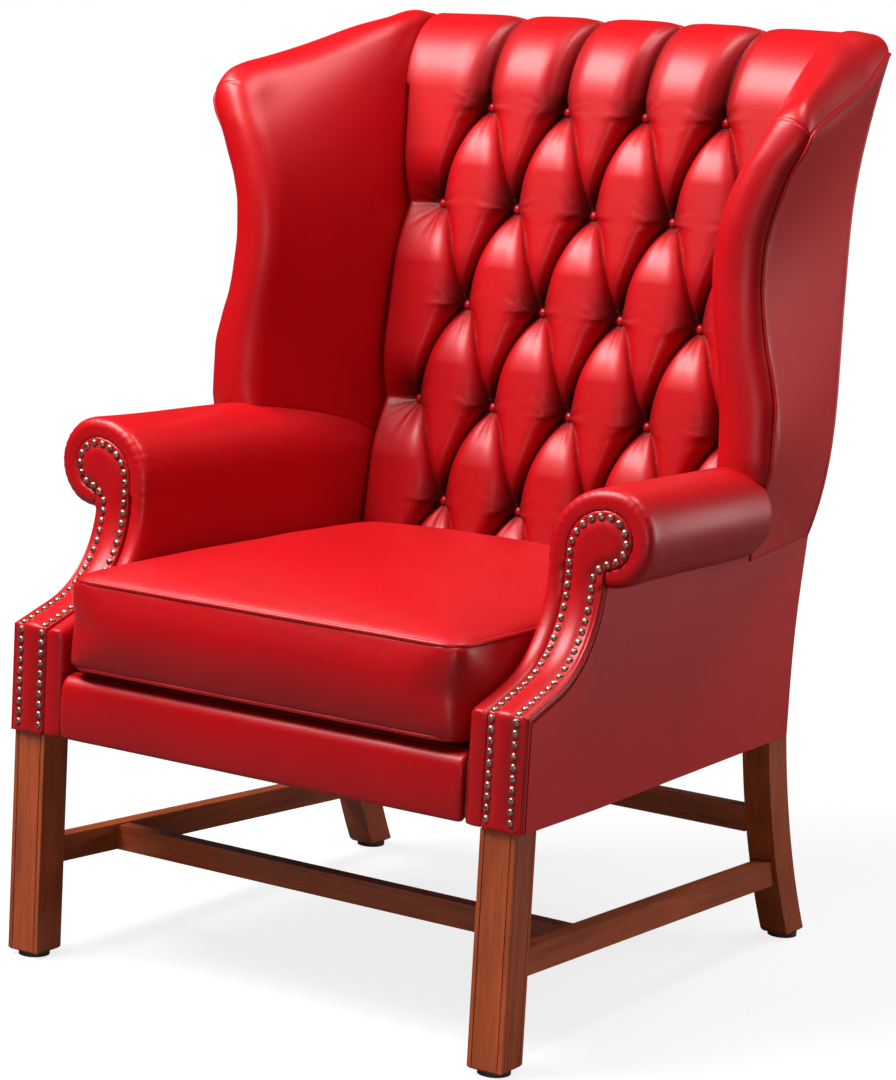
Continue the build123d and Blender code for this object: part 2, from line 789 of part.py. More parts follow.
def facing_welt():
    """Piping that closes the outer edge of the facing against the outside arm."""
    centre = welt_radius + seam_gap * half
    x = arm_out - centre
    front, low, head = sweep_edges(centre, x, upholstery_base)
    path = Wire(front)
    start = Plane(origin=path.position_at(0), z_dir=path.tangent_at(0))
    ring = Face(Wire(Edge.make_circle(welt_radius, start)))
    welt = Solid.sweep(ring, path, transition=Transition.RIGHT)
    return welt & block(0, arm_out + overrun, -overrun, back_top_y, upholstery_base, welt_top)


def arm_pad(frame_pieces, facing_full, deck_limit):
    """Inside arm and scroll in one leather, with the rounded rim that the facing is nailed into."""
    inner, edges, neck = arm_head_edges(arm_inner_x, arm_shoulder_radius, arm_out, arm_top, scroll_radius)
    wall_x = arm_inner_x + arm_wall
    inside_x = arm_out - panel_thickness
    corners = [
        neck, (inside_x, 0, neck[2]), (inside_x, 0, arm_rail_base), (wall_x, 0, arm_rail_base),
        (wall_x, 0, upholstery_base), (arm_inner_x, 0, upholstery_base), inner,
    ]
    outline = [line(start, end) for start, end in zip(corners[:-1], corners[1:])] + edges
    section = front_prism(outline, -overrun, back_top_y)
    pad = section & behind_sweep(0, 0, arm_out + scroll_radius + overrun)
    pad = pad.fillet(arm_rim_radius, [edge for edge in pad.edges() if is_rim_edge(edge)])
    under_deck = block(
        arm_inner_x - overrun, arm_out + overrun, facing_thickness - facing_proud, back_top_y, 0, deck_limit
    )
    reach = arm_out + scroll_radius + overrun
    skirt = block(arm_inner_x + wing_skirt_inset, reach, wing_front_y, back_top_y, 0, back_height)
    return without(pad, under_deck, behind_lining(back_height, reach), skirt, facing_full, *frame_pieces)


def behind_lining(z_high, reach):
    """Everything behind the plane that the back's padding rests on."""
    far = back_top_y + overrun
    return side_prism([(pad_back_y(0), 0), (far, 0), (far, z_high), (pad_back_y(z_high), z_high)], 0, reach)


def arm_hook(gap):
    """The whole arm in front view, down to the floor, with every side moved out by a gap."""
    inner, edges, neck = arm_head_edges(
        arm_inner_x - gap, arm_shoulder_radius + gap, arm_out, arm_top + gap, scroll_radius + gap
    )
    base_inner, base_outer = (inner[0], 0, 0), (neck[0], 0, 0)
    outline = [line(base_inner, inner)] + edges + [line(neck, base_outer), line(base_outer, base_inner)]
    return front_prism(outline, 0, back_top_y)


def is_rim_edge(edge):
    """Edges where the swept front meets the inner wall or the scroll."""
    places = [edge.position_at(share) for share in (0, half, 1)]
    if any(abs(place.Y - on_front(place.Z)[0]) > seam_gap for place in places):
        return False
    start, middle, end = places
    on_wall = abs(middle.X - arm_inner_x) < seam_gap and abs(start.Z - end.Z) > seam_gap
    reach = math.hypot(middle.X - arm_out, middle.Z - scroll_height)
    on_head = middle.X > arm_inner_x + seam_gap and middle.Z > welt_top + seam_gap
    return on_wall or (on_head and reach > scroll_radius - seam_gap)


def on_front(z):
    """Y of the swept front at a height and its outward direction there."""
    corner, begin, middle, end = sweep_turns(0)
    if z <= corner[1]:
        return corner[0], Vector(0, -1, 0)
    if z <= begin[1]:
        y = corner[0] + (z - corner[1]) / math.tan(sweep_angle)
        return y, Vector(0, -math.sin(sweep_angle), math.cos(sweep_angle))
    if z <= end[1]:
        reach = math.sqrt(front_sweep_radius**2 - (end[1] - z) ** 2)
        y = end[0] - front_sweep_radius + reach
        return y, Vector(0, -reach, end[1] - z).normalized()
    return end[0], Vector(0, -1, 0)


def outside_arm():
    """Board from the facing to the back, under the scroll, tapering in to the rear."""
    outer = [(arm_out, 0), (arm_out, panel_hinge_y), (arm_out_back, back_foot_y), (arm_out_back, back_top_y)]
    inner = [(x - panel_thickness, y) for x, y in reversed(outer)]
    board = plan_prism(outer + inner, upholstery_base, welt_top)
    rear = [(rear_y(z, back_panel_thickness), z) for z in rear_heights(upholstery_base, welt_top)]
    before_back = side_prism([(0, upholstery_base)] + rear + [(0, welt_top)], 0, arm_out + overrun)
    return board & behind_sweep(facing_thickness, 0, arm_out + overrun) & before_back


# Wings
def wing_reach(flare_share):
    return wing_waist_reach + (wing_tip_reach - wing_waist_reach) * flare_share


def wing_rear_stations():
    """Half width of the back's outer edge at each height where the wing is drawn."""
    spread = back_panel_half_top - wing_rear_waist
    waist = wing_rear_waist
    return [(arm_top + wing_run * rise, waist + spread * rear) for rise, _, rear in wing_flare_shares]


def wing_rear_x(z):
    stations = wing_rear_stations()
    for (low_z, low_x), (high_z, high_x) in zip(stations, stations[1:]):
        if z <= high_z:
            break
    return low_x + (high_x - low_x) * (z - low_z) / (high_z - low_z)


def wing_stations():
    return [(arm_top + wing_run * rise, wing_reach(flare)) for rise, flare, _ in wing_flare_shares]


def wing_outer_line(z, reach, inset):
    """Front and rear points of the wing's outer side at a height, moved in by an inset."""
    rear_x = wing_rear_x(z)
    back = rear_y(z, back_panel_thickness + seam_gap)
    run = math.hypot(reach - rear_x, back - wing_front_y)
    step_x = (back - wing_front_y) / run * inset
    step_y = (reach - rear_x) / run * inset
    return (reach - step_x, wing_front_y - step_y), (rear_x - step_x, back)


def outside_wing(envelope):
    """Leather covered board outside the wing, from the arm's outer board up to the welt."""
    sections = []
    for z, reach in wing_stations():
        front, rear = wing_outer_line(z, reach, 0)
        front_in, rear_in = wing_outer_line(z, reach, wing_panel_thickness)
        corners = [front, rear, rear_in, front_in]
        sections.append(closed_wire([(x, y, z) for x, y in corners]))
    return Solid.make_loft(sections, ruled=False) & envelope


def wing_body():
    """Wing padding before its top is rounded: flat outside, crowned inside, bulging band in front."""
    sections = []
    for z, reach in wing_stations():
        front, rear = wing_outer_line(z, reach, wing_panel_thickness + seam_gap)
        inner_rear = (half_width_at(z) + seam_gap, pad_back_y(z) - tuft_depth * half)
        inner_front = (reach - wing_band, wing_front_y)
        nose = (reach - wing_band * half, wing_front_y - wing_band_bulge)
        middle = ((inner_front[0] + inner_rear[0]) * half, (inner_front[1] + inner_rear[1]) * half)
        belly = (middle[0] - wing_inner_crown, middle[1])
        behind = (inner_rear[0], rear[1])
        edges = [
            line((*front, z), (*rear, z)),
            line((*rear, z), (*behind, z)),
            line((*behind, z), (*inner_rear, z)),
            arc((*inner_rear, z), (*belly, z), (*inner_front, z)),
            arc((*inner_front, z), (*nose, z), (*front, z)),
        ]
        sections.append(Wire(edges))
    return Solid.make_loft(sections, ruled=False)


def wing_top_envelope():
    """Space under the wing's rolled top, highest at the ridge and lower at the outer welt."""
    run_y = back_top_y - wing_front_y
    rise = back_height - wing_tip_height
    sections = []
    for run_share, ridge_share, welt_share in wing_top_shares:
        y = wing_front_y + run_y * run_share
        ridge_z = wing_tip_height + rise * ridge_share
        welt_z = wing_tip_height + rise * welt_share
        inner_z = ridge_z - wing_shoulder_drop
        outer_x = wing_tip_reach + (back_panel_half_top - wing_tip_reach) * max(0.0, run_share)
        ridge_x = outer_x - wing_band * wing_ridge_share
        inner_x = outer_x - wing_band * wing_inner_share
        far_x = outer_x + overrun
        crown_x = (outer_x + ridge_x) * half
        crown_z = welt_z + (ridge_z - welt_z) * wing_crown_share
        fall_x = (inner_x + ridge_x) * half
        fall_z = inner_z + (ridge_z - inner_z) * wing_crown_share
        edges = [
            line((0, y, wing_foot), (far_x, y, wing_foot)),
            line((far_x, y, wing_foot), (far_x, y, welt_z)),
            line((far_x, y, welt_z), (outer_x, y, welt_z)),
            arc((outer_x, y, welt_z), (crown_x, y, crown_z), (ridge_x, y, ridge_z)),
            arc((ridge_x, y, ridge_z), (fall_x, y, fall_z), (inner_x, y, inner_z)),
            line((inner_x, y, inner_z), (0, y, inner_z)),
            line((0, y, inner_z), (0, y, wing_foot)),
        ]
        sections.append(Wire(edges))
    return Solid.make_loft(sections, ruled=True)


def wing_stile():
    """Upright board at the front of the wing, sawn to its flare, standing on the arm board."""
    sections = []
    for z, reach in wing_stations():
        front, rear = wing_outer_line(z, reach, wing_panel_thickness + seam_gap)
        lean = (front[0] - rear[0]) / (rear[1] - front[1])
        near_y = wing_front_y + wing_stile_setback
        far_y = near_y + wing_stile_depth
        near_x = front[0] - lean * (near_y - front[1]) - seam_gap
        far_x = front[0] - lean * (far_y - front[1]) - seam_gap
        corners = [
            (near_x, near_y), (far_x, far_y),
            (far_x - wing_stile_width, far_y), (near_x - wing_stile_width, near_y),
        ]
        sections.append(closed_wire([(x, y, z) for x, y in corners]))
    stile = Solid.make_loft(sections, ruled=False)
    limit = block(0, arm_out + arm_out, 0, back_top_y, arm_rail_top, wing_rail_base)
    return stile & limit


def wing_rail():
    """Board along the top of the wing, from the stile back to the post."""
    high = wing_rail_base + wing_rail_height
    front, rear = wing_outer_line(wing_rail_base, wing_reach(wing_rail_flare_share), wing_panel_thickness)
    y = wing_front_y + wing_stile_setback
    out = front[0] - wing_stile_setback * half
    back = post_front_at(high)
    outline = [(out, y), (post_out, back), (post_out - wing_stile_width, back), (out - wing_stile_width, y)]
    return without(plan_prism(outline, wing_rail_base, high), back_post(), back_lining())


def wing_pad(envelope, obstacles):
    """Padded inside of the wing and the rounded band down its front, standing on the arm."""
    reach = arm_inner_x + wing_skirt_inset + seam_gap
    shoulder = arm_hook(seam_gap) & block(0, reach, 0, back_top_y, 0, arm_top + arm_top)
    back_frame = behind_lining(back_height - crest_roll_drop, post_out)
    seam_heights = (0, back_flare_start, back_height, back_height + overrun)
    seam = [(half_width_at(z) + seam_gap, 0, z) for z in seam_heights]
    corners = [(0, 0, 0)] + seam + [(0, 0, back_height + overrun)]
    back_side = Solid.extrude(Face(closed_wire(corners)), Vector(0, back_top_y + overrun, 0))
    pad = without(wing_body() & envelope, shoulder, back_frame, back_side, *obstacles)
    return max(solids_of(pad), key=lambda piece: piece.volume)


def front_border():
    """Padded leather over the front rail, rounded at the top where the cushion rests."""
    y_front = -facing_proud
    y_back = facing_thickness - facing_proud
    reach = arm_inner_x - seam_gap
    top = border_top
    face = block(-reach, reach, y_front, y_back, upholstery_base, top)
    lip = block(-reach, reach, y_back, y_back + border_round, rail_top, top)
    border = face + lip
    upper_front = [
        edge for edge in border.edges().filter_by(Axis.X)
        if edge.position_at(half).Z > top - seam_gap and edge.position_at(half).Y < y_front + seam_gap
    ]
    return border.fillet(border_round, upper_front)


# Cushion
def rounded_outline(z, inset, draw_in=0.0):
    """Plan of the cushion at a height: a rectangle with round corners, moved in by an inset."""
    radius = max(cushion_corner - inset * half, cushion_corner * half)
    x = cushion_half_width - inset - draw_in
    front = -cushion_overhang + cushion_welt_radius + cushion_welt_radius * half + inset + draw_in
    rear = cushion_rear_y - inset - draw_in
    diagonal = radius * (1 - math.sqrt(half))
    corners = (
        ((x - radius, front), (x - diagonal, front + diagonal), (x, front + radius)),
        ((x, rear - radius), (x - diagonal, rear - diagonal), (x - radius, rear)),
        ((-x + radius, rear), (-x + diagonal, rear - diagonal), (-x, rear - radius)),
        ((-x, front + radius), (-x + diagonal, front + diagonal), (-x + radius, front)),
    )
    edges = []
    for index, (start, middle, end) in enumerate(corners):
        edges.append(arc((*start, z), (*middle, z), (*end, z)))
        following = corners[(index + 1) % len(corners)][0]
        edges.append(line((*end, z), (*following, z)))
    return Wire(edges)


def seat_cushion(welts_cut):
    """Box cushion: crowned top and underside, with the boxing drawn in between its two welts."""
    sections = []
    for rise_share, inset_share in reversed(cushion_base_shares):
        z = cushion_welt_low - cushion_underside * rise_share
        sections.append(rounded_outline(z, cushion_half_width * inset_share))
    middle = (cushion_welt_low + cushion_welt_high) * half
    sections.append(rounded_outline(middle, 0, cushion_draw_in))
    for rise_share, inset_share in cushion_crown_shares:
        z = cushion_welt_high + cushion_crown * rise_share
        sections.append(rounded_outline(z, cushion_half_width * inset_share))
    body = Solid.make_loft(sections, ruled=True)
    return without(body, *welts_cut)


def welt_ring(z, radius):
    path = rounded_outline(z, -cushion_welt_radius * half)
    start = Plane(origin=path.position_at(0), z_dir=path.tangent_at(0))
    return Solid.sweep(Face(Wire(Edge.make_circle(radius, start))), path, transition=Transition.RIGHT)


# Nails
def nail_path():
    """Centres of the nails in front view: up the outer edge, round the scroll, down the inner edge."""
    outer_x = arm_out - nail_outer_inset
    inner_x = facing_inner_x + nail_edge_inset
    head_top = facing_top - nail_edge_inset
    head_radius = facing_scroll_radius - nail_edge_inset
    shoulder_radius = arm_out - inner_x
    inner, edges, neck = arm_head_edges(inner_x, shoulder_radius, arm_out, head_top, head_radius)
    lowest = upholstery_base + nail_base_lift
    neck_fold = (outer_x, 0, neck[2] - nail_outer_inset)
    pieces = [line((outer_x, 0, lowest), neck_fold), line(neck_fold, neck)]
    pieces += reversed(edges)
    pieces.append(line(inner, (inner_x, 0, lowest)))
    return pieces


def nail_centres():
    """Even steps along the nail line, measured on the swept surface itself."""
    samples = []
    for edge in nail_path():
        ends_meet = not samples or (samples[-1] - edge.position_at(0)).length < nail_pitch
        count = math.ceil(edge.length / seam_gap)
        for index in range(count + 1):
            share = index / count
            samples.append(edge.position_at(share if ends_meet else 1 - share))
    centres = []
    travelled = nail_pitch
    before = None
    for place in samples:
        y, outward = on_front(place.Z)
        point = Vector(place.X, y, place.Z)
        travelled += (point - before).length if before else 0
        before = point
        if travelled >= nail_pitch:
            centres.append((point, outward))
            travelled -= nail_pitch
    return centres


def nails():
    """Domed nail heads, each faceted and seated on the leather."""
    heads = []
    turns = [(math.pi + math.pi) * side / nail_sides for side in range(nail_sides)]
    profile = ((0, 1), (nail_crown_share, nail_shoulder_share), (1, nail_tip_share))
    for point, outward in nail_centres():
        plane = Plane(origin=point + outward * seam_gap, x_dir=(1, 0, 0), z_dir=outward)
        rings = []
        for height_share, radius_share in profile:
            radius = nail_radius * radius_share
            height = nail_height * height_share
            ring = [(radius * math.cos(turn), radius * math.sin(turn), height) for turn in turns]
            rings.append(closed_wire(ring))
        heads.append(plane.location * Solid.make_loft(rings, ruled=True))
    return heads


def main():
    leg_front = front_leg()
    leg_rear = rear_leg()
    stretcher = side_stretcher()
    cross = cross_stretcher()
    rear_bar = rear_stretcher()
    save_pair("front_leg", leg_front - stretcher)
    save_pair("rear_leg", without(leg_rear, stretcher, rear_bar))
    save_pair("side_stretcher", stretcher - cross)
    save("cross_stretcher", cross)
    save("rear_stretcher", rear_bar)
    save("foot_glides", foot_glides())

    rail_side = side_rail()
    straps = seat_webbing()
    save("front_seat_rail", front_rail())
    save("rear_seat_rail", rear_rail())
    save_pair("side_seat_rail", rail_side)
    save("corner_blocks", corner_blocks())
    save("seat_webbing", straps)
    save("seat_deck", seat_deck(straps))
    save("dust_cover", dust_cover())

    post = back_post()
    save_pair("back_post", post)
    save("crest_rail", crest_rail())
    save("lower_back_rail", lower_back_rail())
    save("back_lining", back_lining())
    save("outside_back", outside_back())

    back_pad = inside_back()
    save("inside_back", back_pad)
    save("back_buttons", back_buttons())

    board = arm_rail()
    stump = arm_stump()
    facing, facing_full = facing_solid()
    save_pair("arm_rail", board)
    save_pair("arm_stump", stump)
    save_pair("arm_facing", facing)
    save_pair("facing_welt", facing_welt())
    save_pair("nail_trim", nails())
    save_pair("outside_arm", outside_arm())
    arm = arm_pad([leg_front, board, stump], facing_full, deck_top)
    save_pair("arm_pad", arm)

    stile = wing_stile()
    top_board = wing_rail()
    envelope = wing_top_envelope()
    wing_panel = outside_wing(envelope) - arm
    pad = wing_pad(envelope, [stile, top_board, arm, board])
    save_pair("wing_stile", stile)
    save_pair("wing_rail", top_board)
    save_pair("outside_wing", wing_panel)
    save_pair("wing_pad", pad)

    save("front_border", front_border())
    welt_groove = cushion_welt_radius + seam_gap
    cushion_cut = [welt_ring(z, welt_groove) for z in (cushion_welt_low, cushion_welt_high)]
    save("seat_cushion", seat_cushion(cushion_cut))
    save("cushion_welts", [welt_ring(z, cushion_welt_radius) for z in (cushion_welt_low, cushion_welt_high)])


if __name__ == "__main__":
    main()
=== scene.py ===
import math

import bmesh
import bpy
import numpy as np
from mathutils import Matrix, Vector
from mathutils.bvhtree import BVHTree
from mathutils.kdtree import KDTree


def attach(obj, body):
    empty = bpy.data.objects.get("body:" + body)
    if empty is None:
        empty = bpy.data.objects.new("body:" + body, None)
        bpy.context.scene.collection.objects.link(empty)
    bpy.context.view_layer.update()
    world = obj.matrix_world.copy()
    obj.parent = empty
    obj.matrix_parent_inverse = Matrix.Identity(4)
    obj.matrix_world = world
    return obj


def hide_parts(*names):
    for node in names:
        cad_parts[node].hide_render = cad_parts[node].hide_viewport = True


bl_info = {
    "name": "Buttoned Wing Chair",
    "version": (1, 0, 0),
    "blender": (4, 5, 0),
    "location": "3D View > Sidebar > Wing Chair",
    "description": "Dresses a packed wing chair in buttoned leather, polished mahogany and brass nails",
    "category": "Object",
}

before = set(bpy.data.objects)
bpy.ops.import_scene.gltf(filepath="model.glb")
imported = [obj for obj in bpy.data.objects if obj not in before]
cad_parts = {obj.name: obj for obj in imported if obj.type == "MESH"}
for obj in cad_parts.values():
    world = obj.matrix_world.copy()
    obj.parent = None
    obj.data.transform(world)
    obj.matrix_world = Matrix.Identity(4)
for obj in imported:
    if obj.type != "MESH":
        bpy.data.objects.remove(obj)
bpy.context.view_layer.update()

# Sizes below are in millimetres, with depth measured from the front of the front legs
MM = 0.001
DEPTH_ORIGIN = 391.0
SIDES = (("left", 1.0), ("right", -1.0))

# Inside of the back
DECK_TOP = 358.0
BACK_HEIGHT = 1168.0
BACK_FOOT_DEPTH = 641.5
BACK_SLOPE = 0.1254
BACK_HALF_WIDTH = 284.7
BACK_FLARE = 17.3
FLARE_START = 908.0
ROLL_START = 1066.0
ROLL_REAR = 790.0

# Outside of the back
REAR_DEPTH = 680.0
REAR_SLOPE = 0.16187
REAR_BEND_HEIGHT = 413.0
REAR_BEND_REACH = 64.0

# Buttons, and the petals of leather between them
TOP_ROW = 1044.5
BUTTON_ROWS = 5
ROW_PITCH = 131.2
BUTTON_PITCH = 117.0
BUTTON_STAND = 3.2
BUTTON_RADIUS = 6.8
BUTTON_RISE = 5.2
PETAL_CREST = 0.58
PETAL_FALL = 1.40

# Arms and their swept fronts
ARM_INNER = 285.0
ARM_OUT = 361.0
SCROLL_HEIGHT = 592.0
SCROLL_RADIUS = 56.0
SHOULDER_OUT = 360.0
SHOULDER_HEIGHT = 573.0
SHOULDER_RADIUS = 75.0
FRONT_FACE = -2.0
SLOPE_FOOT = 411.0
SLOPE_TOP = 431.02
SLOPE_ANGLE = math.radians(18.0)
SWEEP_TOP = 549.9
SWEEP_START = 21.0
SWEEP_RADIUS = 125.0
SCROLL_FRONT = SWEEP_START + SWEEP_RADIUS


def to_world(points):
    """Millimetres in the chair's own measure to metres in the frame."""
    points = np.asarray(points, dtype=float)
    return (points - np.array((0.0, DEPTH_ORIGIN, 0.0))) * MM


def button_plane(z):
    """Depth of the buttons at a height."""
    return BACK_FOOT_DEPTH + BACK_SLOPE * (z - DECK_TOP)


def rear_plane(z):
    """Depth of the outside back at a height."""
    rise = np.asarray(z, dtype=float) - REAR_BEND_HEIGHT
    bend = REAR_SLOPE * (rise + REAR_BEND_REACH) ** 2 / (4 * REAR_BEND_REACH)
    below = np.where(rise < -REAR_BEND_REACH, 0.0, bend)
    return REAR_DEPTH + np.where(rise > REAR_BEND_REACH, REAR_SLOPE * rise, below)


def arm_surface(x):
    """Height of the arm's upper side over a place across the chair."""
    x = np.asarray(x, dtype=float)
    inner = SHOULDER_HEIGHT + np.sqrt(np.clip(SHOULDER_RADIUS**2 - (SHOULDER_OUT - x) ** 2, 0.0, None))
    outer = SCROLL_HEIGHT + np.sqrt(np.clip(SCROLL_RADIUS**2 - (x - ARM_OUT) ** 2, 0.0, None))
    return np.where(x < ARM_OUT, inner, outer)


def arm_front(z):
    """Depth of the arm's swept front at a height."""
    if z <= SLOPE_FOOT:
        return FRONT_FACE
    if z <= SLOPE_TOP:
        return FRONT_FACE + (z - SLOPE_FOOT) / math.tan(SLOPE_ANGLE)
    if z <= SWEEP_TOP:
        return SWEEP_START + math.sqrt(SWEEP_RADIUS**2 - (SWEEP_TOP - z) ** 2)
    return SCROLL_FRONT


def arm_front_normal(z):
    """Direction that the arm's swept front faces at a height."""
    if z <= SLOPE_FOOT or z > SWEEP_TOP:
        return np.array((0.0, -1.0, 0.0))
    if z <= SLOPE_TOP:
        return np.array((0.0, -math.sin(SLOPE_ANGLE), math.cos(SLOPE_ANGLE)))
    normal = np.array((0.0, SWEEP_START - arm_front(z), SWEEP_TOP - z))
    return normal / np.linalg.norm(normal)


# Curves and meshes
def resample(points, count):
    """The same path with its points spaced evenly."""
    steps = np.linalg.norm(np.diff(points, axis=0), axis=1)
    travelled = np.concatenate(((0.0,), np.cumsum(steps)))
    places = np.linspace(0.0, travelled[-1], count)
    axes = [np.interp(places, travelled, points[:, axis]) for axis in range(points.shape[1])]
    return np.stack(axes, axis=-1)


def cubic_through(knots, values, places):
    """Shape-keeping cubic through the values."""
    widths = np.diff(knots)
    slopes = np.diff(values) / widths
    tangents = np.zeros(len(values))
    for index in range(1, len(values) - 1):
        before, after = slopes[index - 1], slopes[index]
        if before * after > 0:
            first = 2 * widths[index] + widths[index - 1]
            second = widths[index] + 2 * widths[index - 1]
            tangents[index] = (first + second) / (first / before + second / after)
    tangents[0], tangents[-1] = slopes[0], slopes[-1]
    segment = np.clip(np.searchsorted(knots, places, side="right") - 1, 0, len(widths) - 1)
    local = (places - knots[segment]) / widths[segment]
    low, high = values[segment], values[segment + 1]
    a, b = tangents[segment] * widths[segment], tangents[segment + 1] * widths[segment]
    return (
        low * (2 * local**3 - 3 * local**2 + 1) + a * (local**3 - 2 * local**2 + local)
        + high * (3 * local**2 - 2 * local**3) + b * (local**3 - local**2)
    )


def chair_measure(points):
    """Metres in the frame back to the chair's own measure, one array for each direction."""
    return points[:, 0] / MM, points[:, 1] / MM + DEPTH_ORIGIN, points[:, 2] / MM


def surface_tree(mesh):
    """Search tree over a mesh, to find where a ray meets it."""
    corners = [vertex.co for vertex in mesh.vertices]
    return BVHTree.FromPolygons(corners, [tuple(polygon.vertices) for polygon in mesh.polygons])


def link_mesh(name, mesh):
    """New object in the scene that shows a mesh."""
    piece = bpy.data.objects.new(name, mesh)
    bpy.context.scene.collection.objects.link(piece)
    return piece


def smooth_faces(mesh):
    mesh.polygons.foreach_set("use_smooth", [True] * len(mesh.polygons))
    mesh.update()


def mesh_from(name, vertices, faces):
    """Smooth mesh with its doubles merged and its faces turned outwards."""
    mesh = bpy.data.meshes.new(name)
    mesh.from_pydata([tuple(vertex) for vertex in vertices], [], faces)
    shell = bmesh.new()
    shell.from_mesh(mesh)
    bmesh.ops.remove_doubles(shell, verts=shell.verts, dist=1e-6)
    bmesh.ops.recalc_face_normals(shell, faces=shell.faces)
    shell.to_mesh(mesh)
    shell.free()
    smooth_faces(mesh)
    return link_mesh(name, mesh)


def grid_faces(rows, columns, closed=False):
    """Four-sided faces of a grid of points, row by row; a closed one joins its last column to its first."""
    faces = []
    span = columns if closed else columns - 1
    for row in range(rows - 1):
        for column in range(span):
            following = (column + 1) % columns
            low, high = row * columns, (row + 1) * columns
            faces.append((low + column, low + following, high + following, high + column))
    return faces


def shifted(faces, first):
    """The same faces for points that are stored further on."""
    return [tuple(first + index for index in face) for face in faces]


def zip_strips(vertices, first, second):
    """Triangles joining two rows of points that start and end together."""
    faces = []
    i = j = 0
    while i < len(first) - 1 or j < len(second) - 1:
        if j == len(second) - 1:
            step_first = True
        elif i == len(first) - 1:
            step_first = False
        else:
            lead = np.linalg.norm(vertices[first[i + 1]] - vertices[second[j]])
            trail = np.linalg.norm(vertices[first[i]] - vertices[second[j + 1]])
            step_first = lead <= trail
        if step_first:
            faces.append((first[i], first[i + 1], second[j]))
            i += 1
        else:
            faces.append((first[i], second[j + 1], second[j]))
            j += 1
    return faces


def spanned(front, rear, foot, top):
    """Grid of points between four edges that share their corners."""
    v = np.linspace(0.0, 1.0, len(front))[:, None, None]
    u = np.linspace(0.0, 1.0, len(foot))[None, :, None]
    across = (1 - u) * front[:, None] + u * rear[:, None]
    along = (1 - v) * foot[None] + v * top[None]
    corners = (1 - u) * (1 - v) * foot[0] + u * (1 - v) * foot[-1] + (1 - u) * v * top[0] + u * v * top[-1]
    return across + along - corners


def relaxed(points, faces, weights, rounds):
    """Points drawn towards their neighbours, each by its own weight."""
    pairs = {(min(a, b), max(a, b)) for face in faces for a, b in zip(face, face[1:] + face[:1])}
    first, second = np.array(sorted(pairs)).T
    count = len(points)
    neighbours = np.bincount(first, minlength=count) + np.bincount(second, minlength=count)
    for _ in range(rounds):
        total = np.zeros_like(points)
        for axis in range(3):
            total[:, axis] += np.bincount(first, points[second, axis], count)
            total[:, axis] += np.bincount(second, points[first, axis], count)
        middle = total / np.maximum(neighbours, 1)[:, None]
        points = points + 0.6 * weights[:, None] * (middle - points)
    return points


def border_ring(rows, columns):
    """Indices round the edge of a grid, in order."""
    ring = list(range(columns))
    ring += [row * columns + columns - 1 for row in range(1, rows)]
    ring += [(rows - 1) * columns + column for column in range(columns - 2, -1, -1)]
    ring += [row * columns for row in range(rows - 2, 0, -1)]
    return ring


def covered_grid(name, points, backing, flat_back=False):
    """Closed shell of a grid of points, with its back made by moving the grid or only its border."""
    rows, columns = points.shape[:2]
    ring = border_ring(rows, columns)
    front = points.reshape(-1, 3)
    first = len(front)
    faces = grid_faces(rows, columns)
    if flat_back:
        behind = backing(front[ring])
        rim = [first + index for index in range(len(ring))]
        faces.append(tuple(rim))
    else:
        behind = backing(front)
        rim = [first + index for index in ring]
        faces += shifted(grid_faces(rows, columns), first)
    for index in range(len(ring)):
        following = (index + 1) % len(ring)
        faces.append((ring[index], ring[following], rim[following], rim[index]))
    return mesh_from(name, to_world(np.vstack((front, behind))), faces)


def tube(name, path, radius, sides=10, closed=False):
    """Round piping along a path, with closed ends."""
    path = np.asarray(path, dtype=float)
    count = len(path)
    rings = []
    before = np.roll(path, 1, axis=0)
    after = np.roll(path, -1, axis=0)
    if not closed:
        before[0], after[-1] = path[0], path[-1]
    tangents = after - before
    tangents /= np.linalg.norm(tangents, axis=1)[:, None]
    normal = np.cross(tangents[0], (0.3, 0.2, 0.9))
    for point, tangent in zip(path, tangents):
        normal = normal - tangent * np.dot(normal, tangent)
        normal /= np.linalg.norm(normal)
        across = np.cross(tangent, normal)
        turns = np.linspace(0.0, 2 * math.pi, sides, endpoint=False)
        rings.append([point + radius * (math.cos(turn) * normal + math.sin(turn) * across) for turn in turns])
    vertices = np.array(rings).reshape(-1, 3)
    faces = grid_faces(count, sides, closed=True)
    if closed:
        last = (count - 1) * sides
        best = min(range(sides), key=lambda shift: np.linalg.norm(vertices[last] - vertices[shift]))
        for side in range(sides):
            following = (side + 1) % sides
            faces.append((last + side, last + following, (following + best) % sides, (side + best) % sides))
    else:
        faces.append(tuple(range(sides)))
        faces.append(tuple((count - 1) * sides + side for side in range(sides)))
    return mesh_from(name, to_world(vertices), faces)


def points_of(mesh):
    flat = np.empty(len(mesh.vertices) * 3)
    mesh.vertices.foreach_get("co", flat)
    return flat.reshape(-1, 3)


def set_points(mesh, points):
    mesh.vertices.foreach_set("co", np.asarray(points, dtype=float).ravel())
    mesh.update()


def normals_of(mesh):
    flat = np.empty(len(mesh.vertices) * 3)
    mesh.vertices.foreach_get("normal", flat)
    return flat.reshape(-1, 3)


def paint(mesh, name, values):
    """Stores one value for each vertex, for a material to read."""
    layer = mesh.attributes.new(name, "FLOAT", "POINT")
    layer.data.foreach_set("value", np.asarray(values, dtype=float))


def baked(piece):
    """Turns a piece and its modifiers into one plain mesh."""
    graph = bpy.context.evaluated_depsgraph_get()
    graph.update()
    mesh = bpy.data.meshes.new_from_object(piece.evaluated_get(graph))
    piece.modifiers.clear()
    old = piece.data
    piece.data = mesh
    mesh.name = piece.name
    bpy.data.meshes.remove(old)
    return piece


